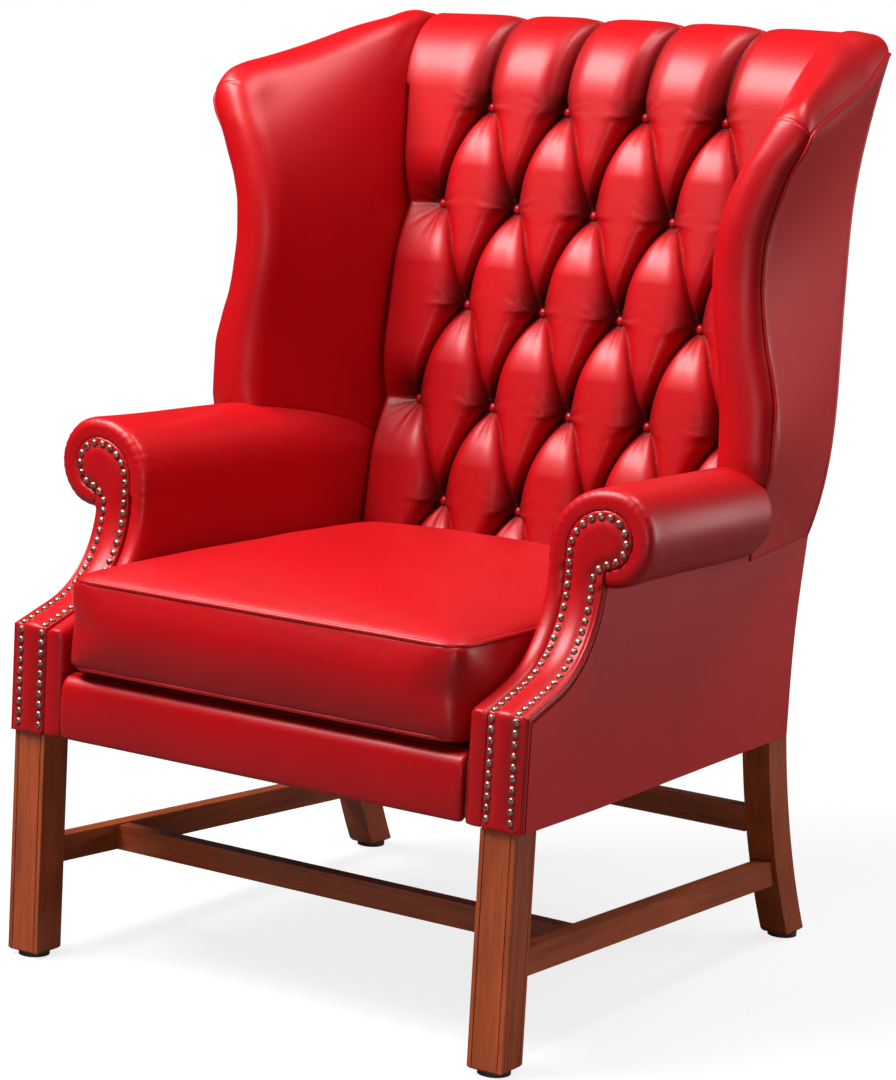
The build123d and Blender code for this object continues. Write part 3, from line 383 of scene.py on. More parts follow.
def softened_copy(name, node, voxel, smoothing, inset=0.0):
    """An even, softened skin over one of the frame's upholstered nodes."""
    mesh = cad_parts[node].data.copy()
    mesh.name = name
    mesh.materials.clear()
    shell = bmesh.new()
    shell.from_mesh(mesh)
    bmesh.ops.remove_doubles(shell, verts=shell.verts, dist=1e-5)
    shell.to_mesh(mesh)
    shell.free()
    piece = link_mesh(name, mesh)
    remesh = piece.modifiers.new("even skin", "REMESH")
    remesh.mode = "VOXEL"
    remesh.voxel_size = voxel
    relax = piece.modifiers.new("softening", "SMOOTH")
    relax.factor = 0.5
    relax.iterations = smoothing
    baked(piece)
    smooth_faces(piece.data)
    if inset:
        set_points(piece.data, points_of(piece.data) - normals_of(piece.data) * inset)
    return piece


def soft_noise(points, scale, seed):
    """Smooth repeatable unevenness from a few crossing waves."""
    source = np.random.default_rng(seed)
    total = np.zeros(len(points))
    for _ in range(9):
        direction = source.normal(size=3)
        direction /= np.linalg.norm(direction)
        phase = source.uniform(0, 2 * math.pi)
        stretch = source.uniform(0.6, 1.7)
        total += np.sin(points @ direction * (2 * math.pi * stretch / scale) + phase)
    return total / 9.0 * 1.6


def dress(piece, body, material, replaced=()):
    """Puts a finished piece on its body, with its finish."""
    piece.data.materials.clear()
    piece.data.materials.append(material)
    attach(piece, body)
    if replaced:
        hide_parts(*replaced)


# Materials
def colour_of(red, green, blue):
    """Linear colour from the 0 to 255 values that a picture shows."""
    def linear(value):
        value /= 255.0
        return value / 12.92 if value <= 0.04045 else ((value + 0.055) / 1.055) ** 2.4
    return (linear(red), linear(green), linear(blue), 1.0)


def new_group(name, inputs, outputs):
    """Shader node group with named inputs and outputs."""
    group = bpy.data.node_groups.new(name, "ShaderNodeTree")
    for label, kind, default in inputs:
        socket = group.interface.new_socket(name=label, in_out="INPUT", socket_type=kind)
        socket.default_value = default
    for label, kind in outputs:
        group.interface.new_socket(name=label, in_out="OUTPUT", socket_type=kind)
    return group, group.nodes.new("NodeGroupInput"), group.nodes.new("NodeGroupOutput")


def set_inputs(tree, node, inputs):
    """Sets each input to a value, or links it from another node's socket."""
    for socket, value in inputs.items():
        if isinstance(value, bpy.types.NodeSocket):
            tree.links.new(value, node.inputs[socket])
        else:
            node.inputs[socket].default_value = value


def add_node(tree, kind, inputs=None, **settings):
    """New node with its settings and its inputs."""
    node = tree.nodes.new(kind)
    for label, value in settings.items():
        setattr(node, label, value)
    set_inputs(tree, node, inputs or {})
    return node


def add_math(tree, operation, *values, clamp=False):
    inputs = dict(enumerate(values))
    return add_node(tree, "ShaderNodeMath", inputs, operation=operation, use_clamp=clamp).outputs[0]


def add_noise(tree, vector, scale, detail=3.0, roughness=0.5, distortion=0.0):
    inputs = {"Vector": vector, "Scale": scale, "Detail": detail, "Roughness": roughness}
    return add_node(tree, "ShaderNodeTexNoise", {**inputs, "Distortion": distortion}).outputs["Fac"]


def add_mix(tree, factor, first, second, mode="MIX"):
    inputs = {"Factor": factor, "A": first, "B": second}
    return add_node(tree, "ShaderNodeMix", inputs, data_type="RGBA", blend_type=mode).outputs["Result"]


def add_ramp(tree, factor, stops):
    """Colour ramp whose stops are greys or colours."""
    node = add_node(tree, "ShaderNodeValToRGB", {"Fac": factor})
    ramp = node.color_ramp
    while len(ramp.elements) < len(stops):
        ramp.elements.new(0.5)
    for element, (position, value) in zip(ramp.elements, stops):
        element.position = position
        element.color = value if isinstance(value, tuple) else (value, value, value, 1.0)
    return node.outputs["Color"]


def object_place(tree):
    """Coordinates of the piece itself, which a pattern follows when the piece moves."""
    return tree.nodes.new("ShaderNodeTexCoord").outputs["Object"]


def leather_hide_group():
    """Pebbled hide: colour that drifts, pores, fine creases and a worn gloss, and painted shade that darkens
    the colour in grooves and pits.
    """
    group, entry, result = new_group(
        "leather_hide",
        [
            ("Colour", "NodeSocketColor", (0.5, 0.0, 0.0, 1.0)),
            # Deep colour: the colour that both the random mottling and the painted shade in grooves and pits
            # lead towards
            ("Deep Colour", "NodeSocketColor", (0.2, 0.0, 0.0, 1.0)),
            ("Grain Size", "NodeSocketFloat", 900.0),
            ("Gloss", "NodeSocketFloat", 0.36),
            ("Fold Shade", "NodeSocketFloat", 0.0),
        ],
        [("Colour", "NodeSocketColor"), ("Roughness", "NodeSocketFloat"), ("Height", "NodeSocketFloat")],
    )
    place = object_place(group)
    cells = {"Vector": place, "Scale": entry.outputs["Grain Size"]}
    pores = add_node(group, "ShaderNodeTexVoronoi", cells, feature="DISTANCE_TO_EDGE")
    pebble = add_math(group, "SMOOTH_MIN", pores.outputs["Distance"], 0.28, 0.12)
    drift = add_node(group, "ShaderNodeTexNoise", {"Vector": place, "Scale": 60.0})
    bend = {0: drift.outputs["Color"], 1: (0.006, 0.006, 0.006), 2: place}
    warp = add_node(group, "ShaderNodeVectorMath", bend, operation="MULTIPLY_ADD")
    cells = {"Vector": warp.outputs["Vector"], "Scale": 210.0}
    creases = add_node(group, "ShaderNodeTexVoronoi", cells, feature="DISTANCE_TO_EDGE")
    crease_line = add_math(group, "MINIMUM", creases.outputs["Distance"], 0.16)
    patches = add_noise(group, place, 7.0, 4.0, 0.55)
    fine = add_noise(group, place, 130.0, 5.0, 0.6)
    ripples = add_noise(group, place, 38.0, 3.0, 0.5, 0.4)
    height = add_math(group, "MULTIPLY_ADD", pebble, 0.35, add_math(group, "MULTIPLY", crease_line, 0.9))
    height = add_math(group, "MULTIPLY_ADD", ripples, 0.55, height)
    height = add_math(group, "MULTIPLY_ADD", fine, 0.12, height)
    shade = add_math(group, "MULTIPLY_ADD", patches, 0.34, -0.11, clamp=True)
    # Painted shade: the fold input darkens the colour towards the deep colour in grooves and pits
    shade = add_math(group, "MULTIPLY_ADD", entry.outputs["Fold Shade"], 0.9, shade, clamp=True)
    colour = add_mix(group, shade, entry.outputs["Colour"], entry.outputs["Deep Colour"])
    glint = add_math(group, "MULTIPLY_ADD", fine, 0.10, entry.outputs["Gloss"])
    glint = add_math(group, "MULTIPLY_ADD", patches, 0.10, glint)
    glint = add_math(group, "SUBTRACT", glint, 0.07)
    glint = add_math(group, "MULTIPLY_ADD", entry.outputs["Fold Shade"], 0.12, glint, clamp=True)
    set_inputs(group, result, {"Colour": colour, "Roughness": glint, "Height": height})
    return group


def new_material(name):
    """Material with one shader."""
    material = bpy.data.materials.new(name)
    material.use_nodes = True
    tree = material.node_tree
    tree.nodes.clear()
    shader = tree.nodes.new("ShaderNodeBsdfPrincipled")
    add_node(tree, "ShaderNodeOutputMaterial", {"Surface": shader.outputs["BSDF"]})
    return material, tree, shader


def bumped(tree, height, strength, distance):
    """Normal that follows a height."""
    inputs = {"Strength": strength, "Distance": distance, "Height": height}
    return add_node(tree, "ShaderNodeBump", inputs).outputs["Normal"]


def leather_material(name, group, colour, deep, gloss, shade_attribute=None, coat=0.12):
    """Glossy hide, with shade painted darker where the piece's own attribute marks a groove or a pit."""
    material, tree, shader = new_material(name)
    look = {"Colour": colour, "Deep Colour": deep, "Gloss": gloss, "Grain Size": 950.0}
    # Painted shade: the piece's own attribute darkens the hide in its grooves and pits
    if shade_attribute:
        look["Fold Shade"] = add_node(tree, "ShaderNodeAttribute", attribute_name=shade_attribute).outputs["Fac"]
    hide = add_node(tree, "ShaderNodeGroup", look, node_tree=group)
    set_inputs(tree, shader, {
        "Base Color": hide.outputs["Colour"],
        "Roughness": hide.outputs["Roughness"],
        "Coat Weight": coat,
        "Coat Roughness": 0.25,
        "Specular IOR Level": 0.42,
        "Specular Tint": (1.0, 0.52, 0.54, 1.0),
        "Normal": bumped(tree, hide.outputs["Height"], 0.22, 0.0011),
    })
    return material


def wood_material(name, along, light, dark):
    """Polished mahogany with pores along one axis, darker in the hollows of the figure."""
    material, tree, shader = new_material(name)
    place = object_place(tree)
    scale = [1.0, 1.0, 1.0]
    scale["XYZ".index(along)] = 0.045
    vector = add_node(tree, "ShaderNodeMapping", {"Scale": scale, "Vector": place}).outputs["Vector"]
    figure = add_noise(tree, vector, 46.0, 6.0, 0.62, 1.4)
    streaks = add_noise(tree, vector, 210.0, 4.0, 0.7, 0.3)
    pores = add_noise(tree, vector, 900.0, 2.0, 0.5)
    clouds = add_noise(tree, place, 6.0, 3.0, 0.5)
    middle = tuple((a + b) * 0.5 for a, b in zip(light, dark))
    base = add_ramp(tree, figure, [(0.2, dark), (0.5, middle), (0.8, light)])
    fibre = add_ramp(tree, streaks, [(0.25, 0.78), (0.65, 1.05)])
    base = add_mix(tree, 0.75, base, fibre, "MULTIPLY")
    pore_mask = add_ramp(tree, pores, [(0.56, 1.0), (0.66, 0.45)])
    base = add_mix(tree, 0.5, base, pore_mask, "MULTIPLY")
    tint = add_ramp(tree, clouds, [(0.3, 0.72), (0.7, 1.1)])
    relief = add_math(tree, "MULTIPLY_ADD", pores, 0.5, streaks)
    set_inputs(tree, shader, {
        "Base Color": add_mix(tree, 0.65, base, tint, "MULTIPLY"),
        "Roughness": add_math(tree, "MULTIPLY_ADD", streaks, 0.16, 0.26),
        "Specular IOR Level": 0.28,
        "Coat Weight": 0.12,
        "Coat Roughness": 0.2,
        "Normal": bumped(tree, relief, 0.12, 0.0004),
    })
    return material


def plain_wood_material():
    """Unpolished hardwood of the frame under the leather."""
    material, tree, shader = new_material("frame_hardwood")
    place = object_place(tree)
    figure = add_noise(tree, place, 60.0, 5.0, 0.6, 1.0)
    dark, light = colour_of(150, 112, 74), colour_of(196, 160, 116)
    set_inputs(tree, shader, {
        "Base Color": add_ramp(tree, figure, [(0.3, dark), (0.7, light)]),
        "Roughness": 0.7,
        "Normal": bumped(tree, figure, 0.2, 0.0005),
    })
    return material


def cloth_material(name, light, dark, scale):
    """Plain woven cloth, its threads crossing at right angles."""
    material, tree, shader = new_material(name)
    place = object_place(tree)
    threads = []
    for direction in ("X", "Y"):
        inputs = {"Scale": scale, "Distortion": 1.2, "Detail Scale": 3.0, "Vector": place}
        threads.append(add_node(tree, "ShaderNodeTexWave", inputs, bands_direction=direction).outputs["Fac"])
    weave = add_math(tree, "MULTIPLY", *threads)
    dirt = add_noise(tree, place, 12.0, 4.0, 0.6)
    shade = add_math(tree, "MULTIPLY_ADD", dirt, 0.5, weave, clamp=True)
    set_inputs(tree, shader, {
        "Base Color": add_ramp(tree, shade, [(0.1, dark), (0.9, light)]),
        "Roughness": 0.9,
        "Normal": bumped(tree, weave, 0.4, 0.0006),
    })
    return material


def aged_brass_material():
    """Nail brass, browned where it has tarnished, with all its colours tinted pink as a painted reflection of
    the red leather round it.
    """
    material, tree, shader = new_material("aged_brass")
    place = object_place(tree)
    tarnish = add_noise(tree, place, 260.0, 4.0, 0.65)
    # Painted reflection: each colour is tinted pink for the red leather that the nails reflect; the ramp
    # between them is the tarnish
    brown, worn, bright = colour_of(80, 54, 50), colour_of(150, 112, 102), colour_of(214, 178, 166)
    set_inputs(tree, shader, {
        "Base Color": add_ramp(tree, tarnish, [(0.3, brown), (0.5, worn), (0.75, bright)]),
        "Metallic": 0.9,
        "Roughness": add_math(tree, "MULTIPLY_ADD", tarnish, 0.35, 0.16),
        "Normal": bumped(tree, tarnish, 0.1, 0.0004),
    })
    return material


def glide_material():
    """Dark speckled glides under the feet."""
    material, tree, shader = new_material("dark_glide")
    place = object_place(tree)
    speckle = add_noise(tree, place, 300.0, 3.0, 0.6)
    dark, light = colour_of(34, 28, 26), colour_of(70, 60, 54)
    set_inputs(tree, shader, {
        "Base Color": add_ramp(tree, speckle, [(0.3, dark), (0.8, light)]),
        "Roughness": 0.6,
        "Normal": bumped(tree, speckle, 0.15, 0.0004),
    })
    return material


# Finishes by short names, filled by build_materials
MATERIALS = {}


def build_materials(settings):
    """Every finish of the chair, from the colours and gloss in the settings."""
    hide = leather_hide_group()
    red = (*settings.leather_colour, 1.0)
    # Deep colour: the target of the random mottling and, on the buttoned back, of the painted shade
    deep = tuple(value * 0.07 for value in settings.leather_colour) + (1.0,)
    # Outside panels: painted lighter than the front hide, for the dimmer light on them
    side = (*settings.side_lit_colour, 1.0)
    side_deep = tuple(value * 0.6 for value in settings.side_lit_colour) + (1.0,)
    gloss = settings.leather_roughness
    MATERIALS["leather"] = leather_material("red_leather", hide, red, deep, gloss)
    # The buttoned back's attribute paints shade in its grooves and above its buttons
    MATERIALS["tufts"] = leather_material("buttoned_red_leather", hide, red, deep, gloss, shade_attribute="fold_shade")
    MATERIALS["side"] = leather_material("side_leather", hide, side, side_deep, gloss + 0.04, coat=0.05)
    light = (*settings.wood_light, 1.0)
    dark = (*settings.wood_dark, 1.0)
    for axis in "XYZ":
        MATERIALS["wood" + axis] = wood_material("mahogany_" + axis.lower(), axis, light, dark)
    MATERIALS["frame"] = plain_wood_material()
    jute, jute_shade = colour_of(190, 160, 112), colour_of(110, 84, 52)
    MATERIALS["webbing"] = cloth_material("jute_webbing", jute, jute_shade, 260.0)
    black, black_shade = colour_of(44, 42, 44), colour_of(12, 12, 14)
    MATERIALS["under"] = cloth_material("black_under_cloth", black, black_shade, 420.0)
    MATERIALS["brass"] = aged_brass_material()
    MATERIALS["glide"] = glide_material()


# Buttoned back
PUCKERS = ((9, 1.0, 1.7), (14, 0.7, 2.9), (21, 0.5, 1.0))  # folds round a button, their weight and their turn
PUCKER_RISE = 0.75
PUCKER_REACH = 30.0
BUTTON_PIT = 8.0
FLOOR_REACH = 40.0
GROOVE_DEPTH = 5.0
GROOVE_WIDTH = 2.8
# Painted shade round each button: its width, and how far it reaches above and below
SHADE_WIDTH = 25.0
SHADE_ABOVE = 44.0
SHADE_BELOW = 10.0
TOP_BLEND = 70.0
EDGE_ROUND = 9.0
BACK_FOOT = 360.0
FINE_START = 478.0
TOP_CROWN = 3.0
TOP_DROP = 1.0
TOP_SPREAD = 7.0


def button_centres():
    """Rows of four and five buttons in turn, as places across and up the back."""
    centres = []
    for row in range(BUTTON_ROWS):
        z = TOP_ROW - row * ROW_PITCH
        count = 4 + row % 2
        for index in range(count):
            centres.append(((index - (count - 1) / 2) * BUTTON_PITCH, z))
    return centres


def button_pulls(x, z):
    """Distance to the nearest button, the puckers round each, and the shade above and below it."""
    nearest = np.full(x.shape, 1e6)
    rays = np.zeros(x.shape)
    shade = np.zeros(x.shape)
    for index, (centre_x, centre_z) in enumerate(button_centres()):
        dx, dz = x - centre_x, z - centre_z
        distance = np.sqrt(dx**2 + dz**2)
        turn = np.arctan2(dz, dx)
        fan = sum(weight * np.cos(turn * count + index * start) for count, weight, start in PUCKERS)
        fade = np.exp(-((distance / PUCKER_REACH) ** 2)) * np.clip(distance / 10.0, 0, 1)
        rays += fan * fade * PUCKER_RISE
        nearest = np.minimum(nearest, distance)
        # Painted shade: reaches far above each button, where the leather falls into the pit, and little below
        height = np.where(dz > 0, SHADE_ABOVE, SHADE_BELOW)
        shade = np.maximum(shade, np.exp(-((dx / SHADE_WIDTH) ** 2) - (dz / height) ** 2))
    return nearest, rays, shade


def tuft_relief(x, z, settings):
    """How far the buttoned leather stands in front of its buttons, and how much shade is painted on it in its
    grooves and above its buttons.

    Below each button a petal of leather swells out between two curved folds, is widest at the
    next row, and narrows to the button two rows down. Above the top row the folds run straight
    up and over, and beyond the outer buttons they run level to the sides.
    """
    down = TOP_ROW - z
    on_top = down < 0
    reach = 2.0 * BUTTON_PITCH
    clamped_x = np.clip(x, -reach, reach)
    row = np.clip(np.floor(down / ROW_PITCH), 0, BUTTON_ROWS - 1)
    share = np.clip(down / ROW_PITCH - row, 0.0, 1.0)
    offset = np.where(row % 2 == 0, 0.5, 0.0)
    across = clamped_x / BUTTON_PITCH - offset
    from_column = across - np.round(across)
    aside = np.abs(from_column) * 2.0
    spread = share**0.62
    upper = aside < spread
    width_upper = np.clip(aside / np.maximum(spread, 1e-3), 0, 1)
    width_lower = np.clip((1.0 - aside) / np.maximum(1.0 - spread, 1e-3), 0, 1)
    width = np.where(upper, width_upper, width_lower)
    stage = np.where(upper, share, 1.0 + share)
    rising = 1.0 - (1.0 - np.clip(stage / PETAL_CREST, 0, 1)) ** 1.4
    falling = np.cos(np.clip((stage - PETAL_FALL) / (2.0 - PETAL_FALL), 0, 1) * math.pi / 2) ** 0.9
    swell = np.where(stage < PETAL_CREST, rising, falling)
    steep = np.interp(stage, (0.0, 0.7, 1.0, 1.15, 2.0), (0.5, 0.6, 0.775, 0.85, 1.0))
    profile = np.clip(1.0 - width**3.2, 0.0, 1.0) ** steep
    above = np.clip(-down / TOP_BLEND, 0.0, 1.0)
    top_width = np.abs(clamped_x / BUTTON_PITCH - np.round(clamped_x / BUTTON_PITCH)) * 2.0
    top_width = np.where(np.abs(x) > reach, 0.0, top_width)
    top_profile = np.clip(1.0 - top_width**3.2, 0.0, 1.0) ** (0.775 - 0.3 * above)
    profile = np.where(on_top, top_profile, profile)
    swell = np.where(on_top, 1.0, swell)

    nearest, rays, shade = button_pulls(x, z)
    floor = settings.pleat_rise * (1.0 - np.exp(-((nearest / FLOOR_REACH) ** 2)))
    relief = floor + (settings.tuft_depth - floor) * swell * profile
    edge_upper = np.abs(aside - spread) * BUTTON_PITCH / 2
    edge_top = (1.0 - top_width) * BUTTON_PITCH / 2
    edge = np.where(on_top, edge_top, edge_upper)
    fade = np.where(on_top, 1.0, np.clip(1.15 - share, 0.0, 1.0) ** 0.8)
    groove = np.exp(-((edge / GROOVE_WIDTH) ** 2)) * fade * np.clip(nearest / 12.0, 0.0, 1.0)
    groove = np.where((np.abs(x) > reach + 3) & ~on_top, 0.0, groove)
    groove = groove * np.where(on_top | (from_column < 0.0), 1.0, 0.45)
    relief = relief - GROOVE_DEPTH * groove + rays
    relief = relief * (1.0 - 0.5 * np.exp(-((nearest / BUTTON_PIT) ** 2)))
    # Painted shade: darker in the grooves and in the pit above each button
    fold_shade = np.clip(groove + shade, 0.0, 1.0)
    return np.maximum(relief, 0.0), fold_shade


def back_half_width(z):
    """Half width of the inside back, which flares to the top."""
    rise = np.asarray(z, dtype=float) - FLARE_START
    return BACK_HALF_WIDTH + BACK_FLARE * np.clip(rise / (BACK_HEIGHT - FLARE_START), 0.0, 1.0)


def buttoned_rows(shares, settings):
    """Rows of the upright face, from the seat to where the top starts to roll over."""
    low = np.linspace(BACK_FOOT, FINE_START, 14)
    high = np.linspace(FINE_START, ROLL_START, 240)[1:]
    rows, folds = [], []
    for z in np.concatenate((low, high)):
        half = float(back_half_width(z))
        x = shares * half
        relief, fold_shade = tuft_relief(x, np.full(len(shares), z), settings)
        edge = np.clip((half - np.abs(x)) / EDGE_ROUND, 0.0, 1.0)
        relief = relief * (0.45 + 0.55 * np.sqrt(1 - (1 - edge) ** 2))
        rows.append(np.stack((x, button_plane(z) - relief, np.full(len(shares), z)), axis=-1))
        folds.append(fold_shade)
    return rows, folds


def rolled_rows(shares, settings):
    """Rows of the roll over the top, whose folds fade towards the rear."""
    steps = 44
    x = shares * float(back_half_width(ROLL_START))
    relief, fold_shade = tuft_relief(x, np.full(len(shares), ROLL_START), settings)
    front_y = button_plane(ROLL_START) - relief
    crest_y = front_y.min()
    rise = BACK_HEIGHT - ROLL_START
    crown = TOP_CROWN * np.cos(shares * math.pi / 2) - TOP_DROP
    lean_back = BACK_SLOPE * rise
    inner = np.clip(1 - np.abs(shares) ** 8, 0, 1)
    rows, folds = [], []
    for step in range(1, steps + 1):
        turn = step / steps * math.pi * 0.5
        lift = math.sin(turn)
        run = 1.0 - math.cos(turn)
        ease = 0.55 + 0.45 * math.cos(turn)
        y = crest_y + lean_back * lift + (ROLL_REAR - crest_y - lean_back) * run + (front_y - crest_y) * ease
        crease_drop = (front_y - crest_y) * 0.22 * lift**2
        z = ROLL_START + (BACK_HEIGHT + crown - ROLL_START) * lift - crease_drop
        half = float(back_half_width(ROLL_START + rise * lift))
        rows.append(np.stack((shares * half + TOP_SPREAD * lift**2 * inner, y, z), axis=-1))
        # The painted shade fades over the roll towards the rear
        folds.append(fold_shade * (0.9 - 0.45 * lift))
    return rows, folds


def build_tufted_back(settings):
    """One closed skin over the face and the top, with shade painted into its colour in the grooves and above
    the buttons.
    """
    shares = np.linspace(-1.0, 1.0, 300)
    face_rows, face_fold_shades = buttoned_rows(shares, settings)
    top_rows, top_fold_shades = rolled_rows(shares, settings)
    points = np.array(face_rows + top_rows)
    folds = np.array(face_fold_shades + top_fold_shades).ravel()

    def backing(ring):
        moved = ring.copy()
        moved[:, 1] = np.maximum(button_plane(moved[:, 2]) + 6.0, np.minimum(moved[:, 1] + 1.0, ROLL_REAR))
        return moved

    piece = covered_grid("buttoned_back", points, backing, flat_back=True)
    nearest_fold_shade = KDTree(len(folds))
    for index, place in enumerate(to_world(points.reshape(-1, 3))):
        nearest_fold_shade.insert(place, index)
    nearest_fold_shade.balance()
    values = []
    for vertex in piece.data.vertices:
        _, index, distance = nearest_fold_shade.find(vertex.co)
        values.append(folds[index] if distance < MM else 0.0)
    # Painted shade in the grooves and above the buttons, stored for the material to darken its colour
    paint(piece.data, "fold_shade", values)
    dress(piece, "chair", MATERIALS["tufts"], ("inside_back",))


def dome_tree(name):
    """Places one domed button or nail head on every point, facing along that point's direction."""
    tree = bpy.data.node_groups.new(name, "GeometryNodeTree")
    entries = {"Geometry": "Geometry", "Radius": "Float", "Height": "Float", "Finish": "Material"}
    for label, kind in entries.items():
        tree.interface.new_socket(name=label, in_out="INPUT", socket_type="NodeSocket" + kind)
    tree.interface.new_socket(name="Geometry", in_out="OUTPUT", socket_type="NodeSocketGeometry")
    entry = tree.nodes.new("NodeGroupInput").outputs
    sphere = {"Segments": 14, "Rings": 8, "Radius": entry["Radius"]}
    dome = add_node(tree, "GeometryNodeMeshUVSphere", sphere).outputs["Mesh"]
    ratio = add_math(tree, "DIVIDE", entry["Height"], entry["Radius"])
    flatten = add_node(tree, "ShaderNodeCombineXYZ", {"X": 1.0, "Y": 1.0, "Z": ratio}).outputs["Vector"]
    squash = add_node(tree, "GeometryNodeTransform", {"Geometry": dome, "Scale": flatten}).outputs["Geometry"]
    facing = add_node(tree, "GeometryNodeInputNamedAttribute", {"Name": "facing"}, data_type="FLOAT_VECTOR")
    size = add_node(tree, "GeometryNodeInputNamedAttribute", {"Name": "size"}, data_type="FLOAT")
    toward = {"Vector": facing.outputs["Attribute"]}
    align = add_node(tree, "FunctionNodeAlignRotationToVector", toward, axis="Z").outputs["Rotation"]
    spread = add_node(tree, "GeometryNodeInstanceOnPoints", {
        "Points": entry["Geometry"],
        "Instance": squash,
        "Rotation": align,
        "Scale": size.outputs["Attribute"],
    }).outputs["Instances"]
    real = add_node(tree, "GeometryNodeRealizeInstances", {"Geometry": spread}).outputs["Geometry"]
    smooth = add_node(tree, "GeometryNodeSetShadeSmooth", {"Geometry": real}).outputs["Geometry"]
    finish = add_node(tree, "GeometryNodeSetMaterial", {"Geometry": smooth, "Material": entry["Finish"]})
    add_node(tree, "NodeGroupOutput", {"Geometry": finish.outputs["Geometry"]})
    return tree


def spread_domes(name, tree, places, directions, sizes, radius, height, material):
    """One mesh of domes, such as buttons or nail heads, with its place, direction and size for each."""
    mesh = bpy.data.meshes.new(name)
    mesh.from_pydata([tuple(place) for place in to_world(places)], [], [])
    facing = mesh.attributes.new("facing", "FLOAT_VECTOR", "POINT")
    facing.data.foreach_set("vector", np.asarray(directions, dtype=float).ravel())
    size = mesh.attributes.new("size", "FLOAT", "POINT")
    size.data.foreach_set("value", np.asarray(sizes, dtype=float))
    piece = link_mesh(name, mesh)
    modifier = piece.modifiers.new("domes", "NODES")
    modifier.node_group = tree
    values = {"Radius": radius, "Height": height, "Finish": material}
    for item in tree.interface.items_tree:
        if item.in_out == "INPUT" and item.name in values:
            modifier[item.identifier] = values[item.name]
    return baked(piece)


def build_buttons():
    """Covered buttons at the bottom of the pits, leaning back with the leather."""
    places = [(x, button_plane(z) - BUTTON_STAND, z) for x, z in button_centres()]
    directions = [(0.0, -1.0, 0.125)] * len(places)
    sizes = np.random.default_rng(3).uniform(0.97, 1.03, len(places))
    buttons = spread_domes(
        "covered_buttons", dome_tree("covered_buttons"), places, directions, sizes, BUTTON_RADIUS * MM,
        BUTTON_RISE * MM, MATERIALS["leather"],
    )
    dress(buttons, "chair", MATERIALS["leather"], ("back_buttons",))


# Wings
SEAM_FOOT = 600.0
SEAM_TOP = 1154.0
SEAM_GAP = 0.8
SEAM_BEHIND = 4.0
SEAM_ROLL = 1098.0
SEAM_ROLL_DEPTH = 50.0
ARM_BITE = 1.5
PANEL_FULLNESS = 7.0
HIDDEN_HOLLOW = 9.0
HIDDEN_INSET = 7.0
HIDDEN_BEHIND = 16.0
WING_WAVE = 1.2
CORNER_ABOVE = 1008.0
PANEL_FRONT = ((389.0, 453.0, 536.5), (396.0, 452.0, 588.0))
PANEL_STAND = 0.6
PANEL_THICKNESS = 4.0
REAR_SEAM_INSET = 6.5
WING_PIPING_START = (391.0, 453.0, 550.0)
WING_PIPING_RADIUS = 2.6

# Round the rolled rim from the arm to the back: its outer edge, crown, inner edge and way of swelling
WING_STATIONS = (
    ((404, 448, 629), (370, 430, 645), (337, 452, 642), (0, -1, 0)),
    ((409, 448, 658), (373, 427, 663), (335, 452, 663), (0, -1, 0)),
    ((409, 449, 716), (371, 426, 716), (332, 452, 716), (0, -1, 0)),
    ((402, 450, 754), (365, 426, 754), (327, 452, 758), (0, -1, 0)),
    ((391, 450, 792), (355, 426, 792), (320, 452, 798), (0, -1, 0)),
    ((385, 449, 827), (349, 426, 828), (313, 452, 836), (0, -1, 0)),
    ((381, 448, 868), (346, 426, 870), (311, 452, 876), (0, -1, 0)),
    ((382, 447, 906), (348, 425, 908), (313, 452, 912), (0, -1, 0)),
    ((389, 446, 942), (355, 424, 944), (320, 452, 946), (0, -1, 0)),
    ((400, 445, 973), (365, 424, 976), (330, 452, 976), (0, -1, 0)),
    ((412, 445, 1003), (377, 425, 1007), (342, 454, 1004), (0, -1, 0)),
    ((424, 446, 1023), (390, 429, 1033), (354, 460, 1023), (0, -0.92, 0.38)),
    ((430, 450, 1042), (402, 438, 1062), (362, 469, 1042), (0, -0.7, 0.7)),
    ((428, 463, 1049), (408, 455, 1079), (364, 482, 1056), (0, -0.38, 0.92)),
    ((423, 482, 1054), (404, 478, 1088), (361, 500, 1066), (0, -0.1, 0.99)),
    ((415, 510, 1058), (396, 508, 1096), (354, 522, 1076), (0, 0, 1)),
    ((398, 594, 1076), (369, 594, 1123), (331, 598, 1103), (0, 0, 1)),
    ((387, 652, 1089), (347, 652, 1143), (317, 654, 1124), (0, 0, 1)),
    ((376, 710, 1104), (327, 708, 1159), (305, 710, 1144), (0, 0, 1)),
    ((368, 757, 1126), (326, 758, 1169), (303, 757, 1156), (0, 0, 1)),
    ((361, 795, 1142), (334, 792, 1167), (303.2, 790, 1156), (0, 0, 1)),
)
CORNER_STATION = 12

# Height and half width of the outside back
REAR_EDGE = (
    (536.0, 344.0), (656.0, 359.5), (768.0, 353.2), (876.0, 345.0), (964.0, 341.5), (1048.0, 347.6),
    (1176.0, 367.5),
)


def wing_paths(count):
    """Outer edge, crown, inner edge and swelling direction of the wing's rolled rim."""
    columns = [np.array([station[index] for station in WING_STATIONS], dtype=float) for index in range(4)]
    steps = np.linalg.norm(np.diff(columns[1], axis=0), axis=1)
    travelled = np.concatenate(((0.0,), np.cumsum(steps)))
    places = np.linspace(0.0, travelled[-1], count)
    smoothed = []
    for column in columns:
        spline = np.stack([cubic_through(travelled, column[:, axis], places) for axis in range(3)], axis=-1)
        smoothed.append(spline)
    smoothed[3] /= np.linalg.norm(smoothed[3], axis=1)[:, None]
    corner = int(np.argmin(np.abs(places - travelled[CORNER_STATION])))
    return smoothed, corner


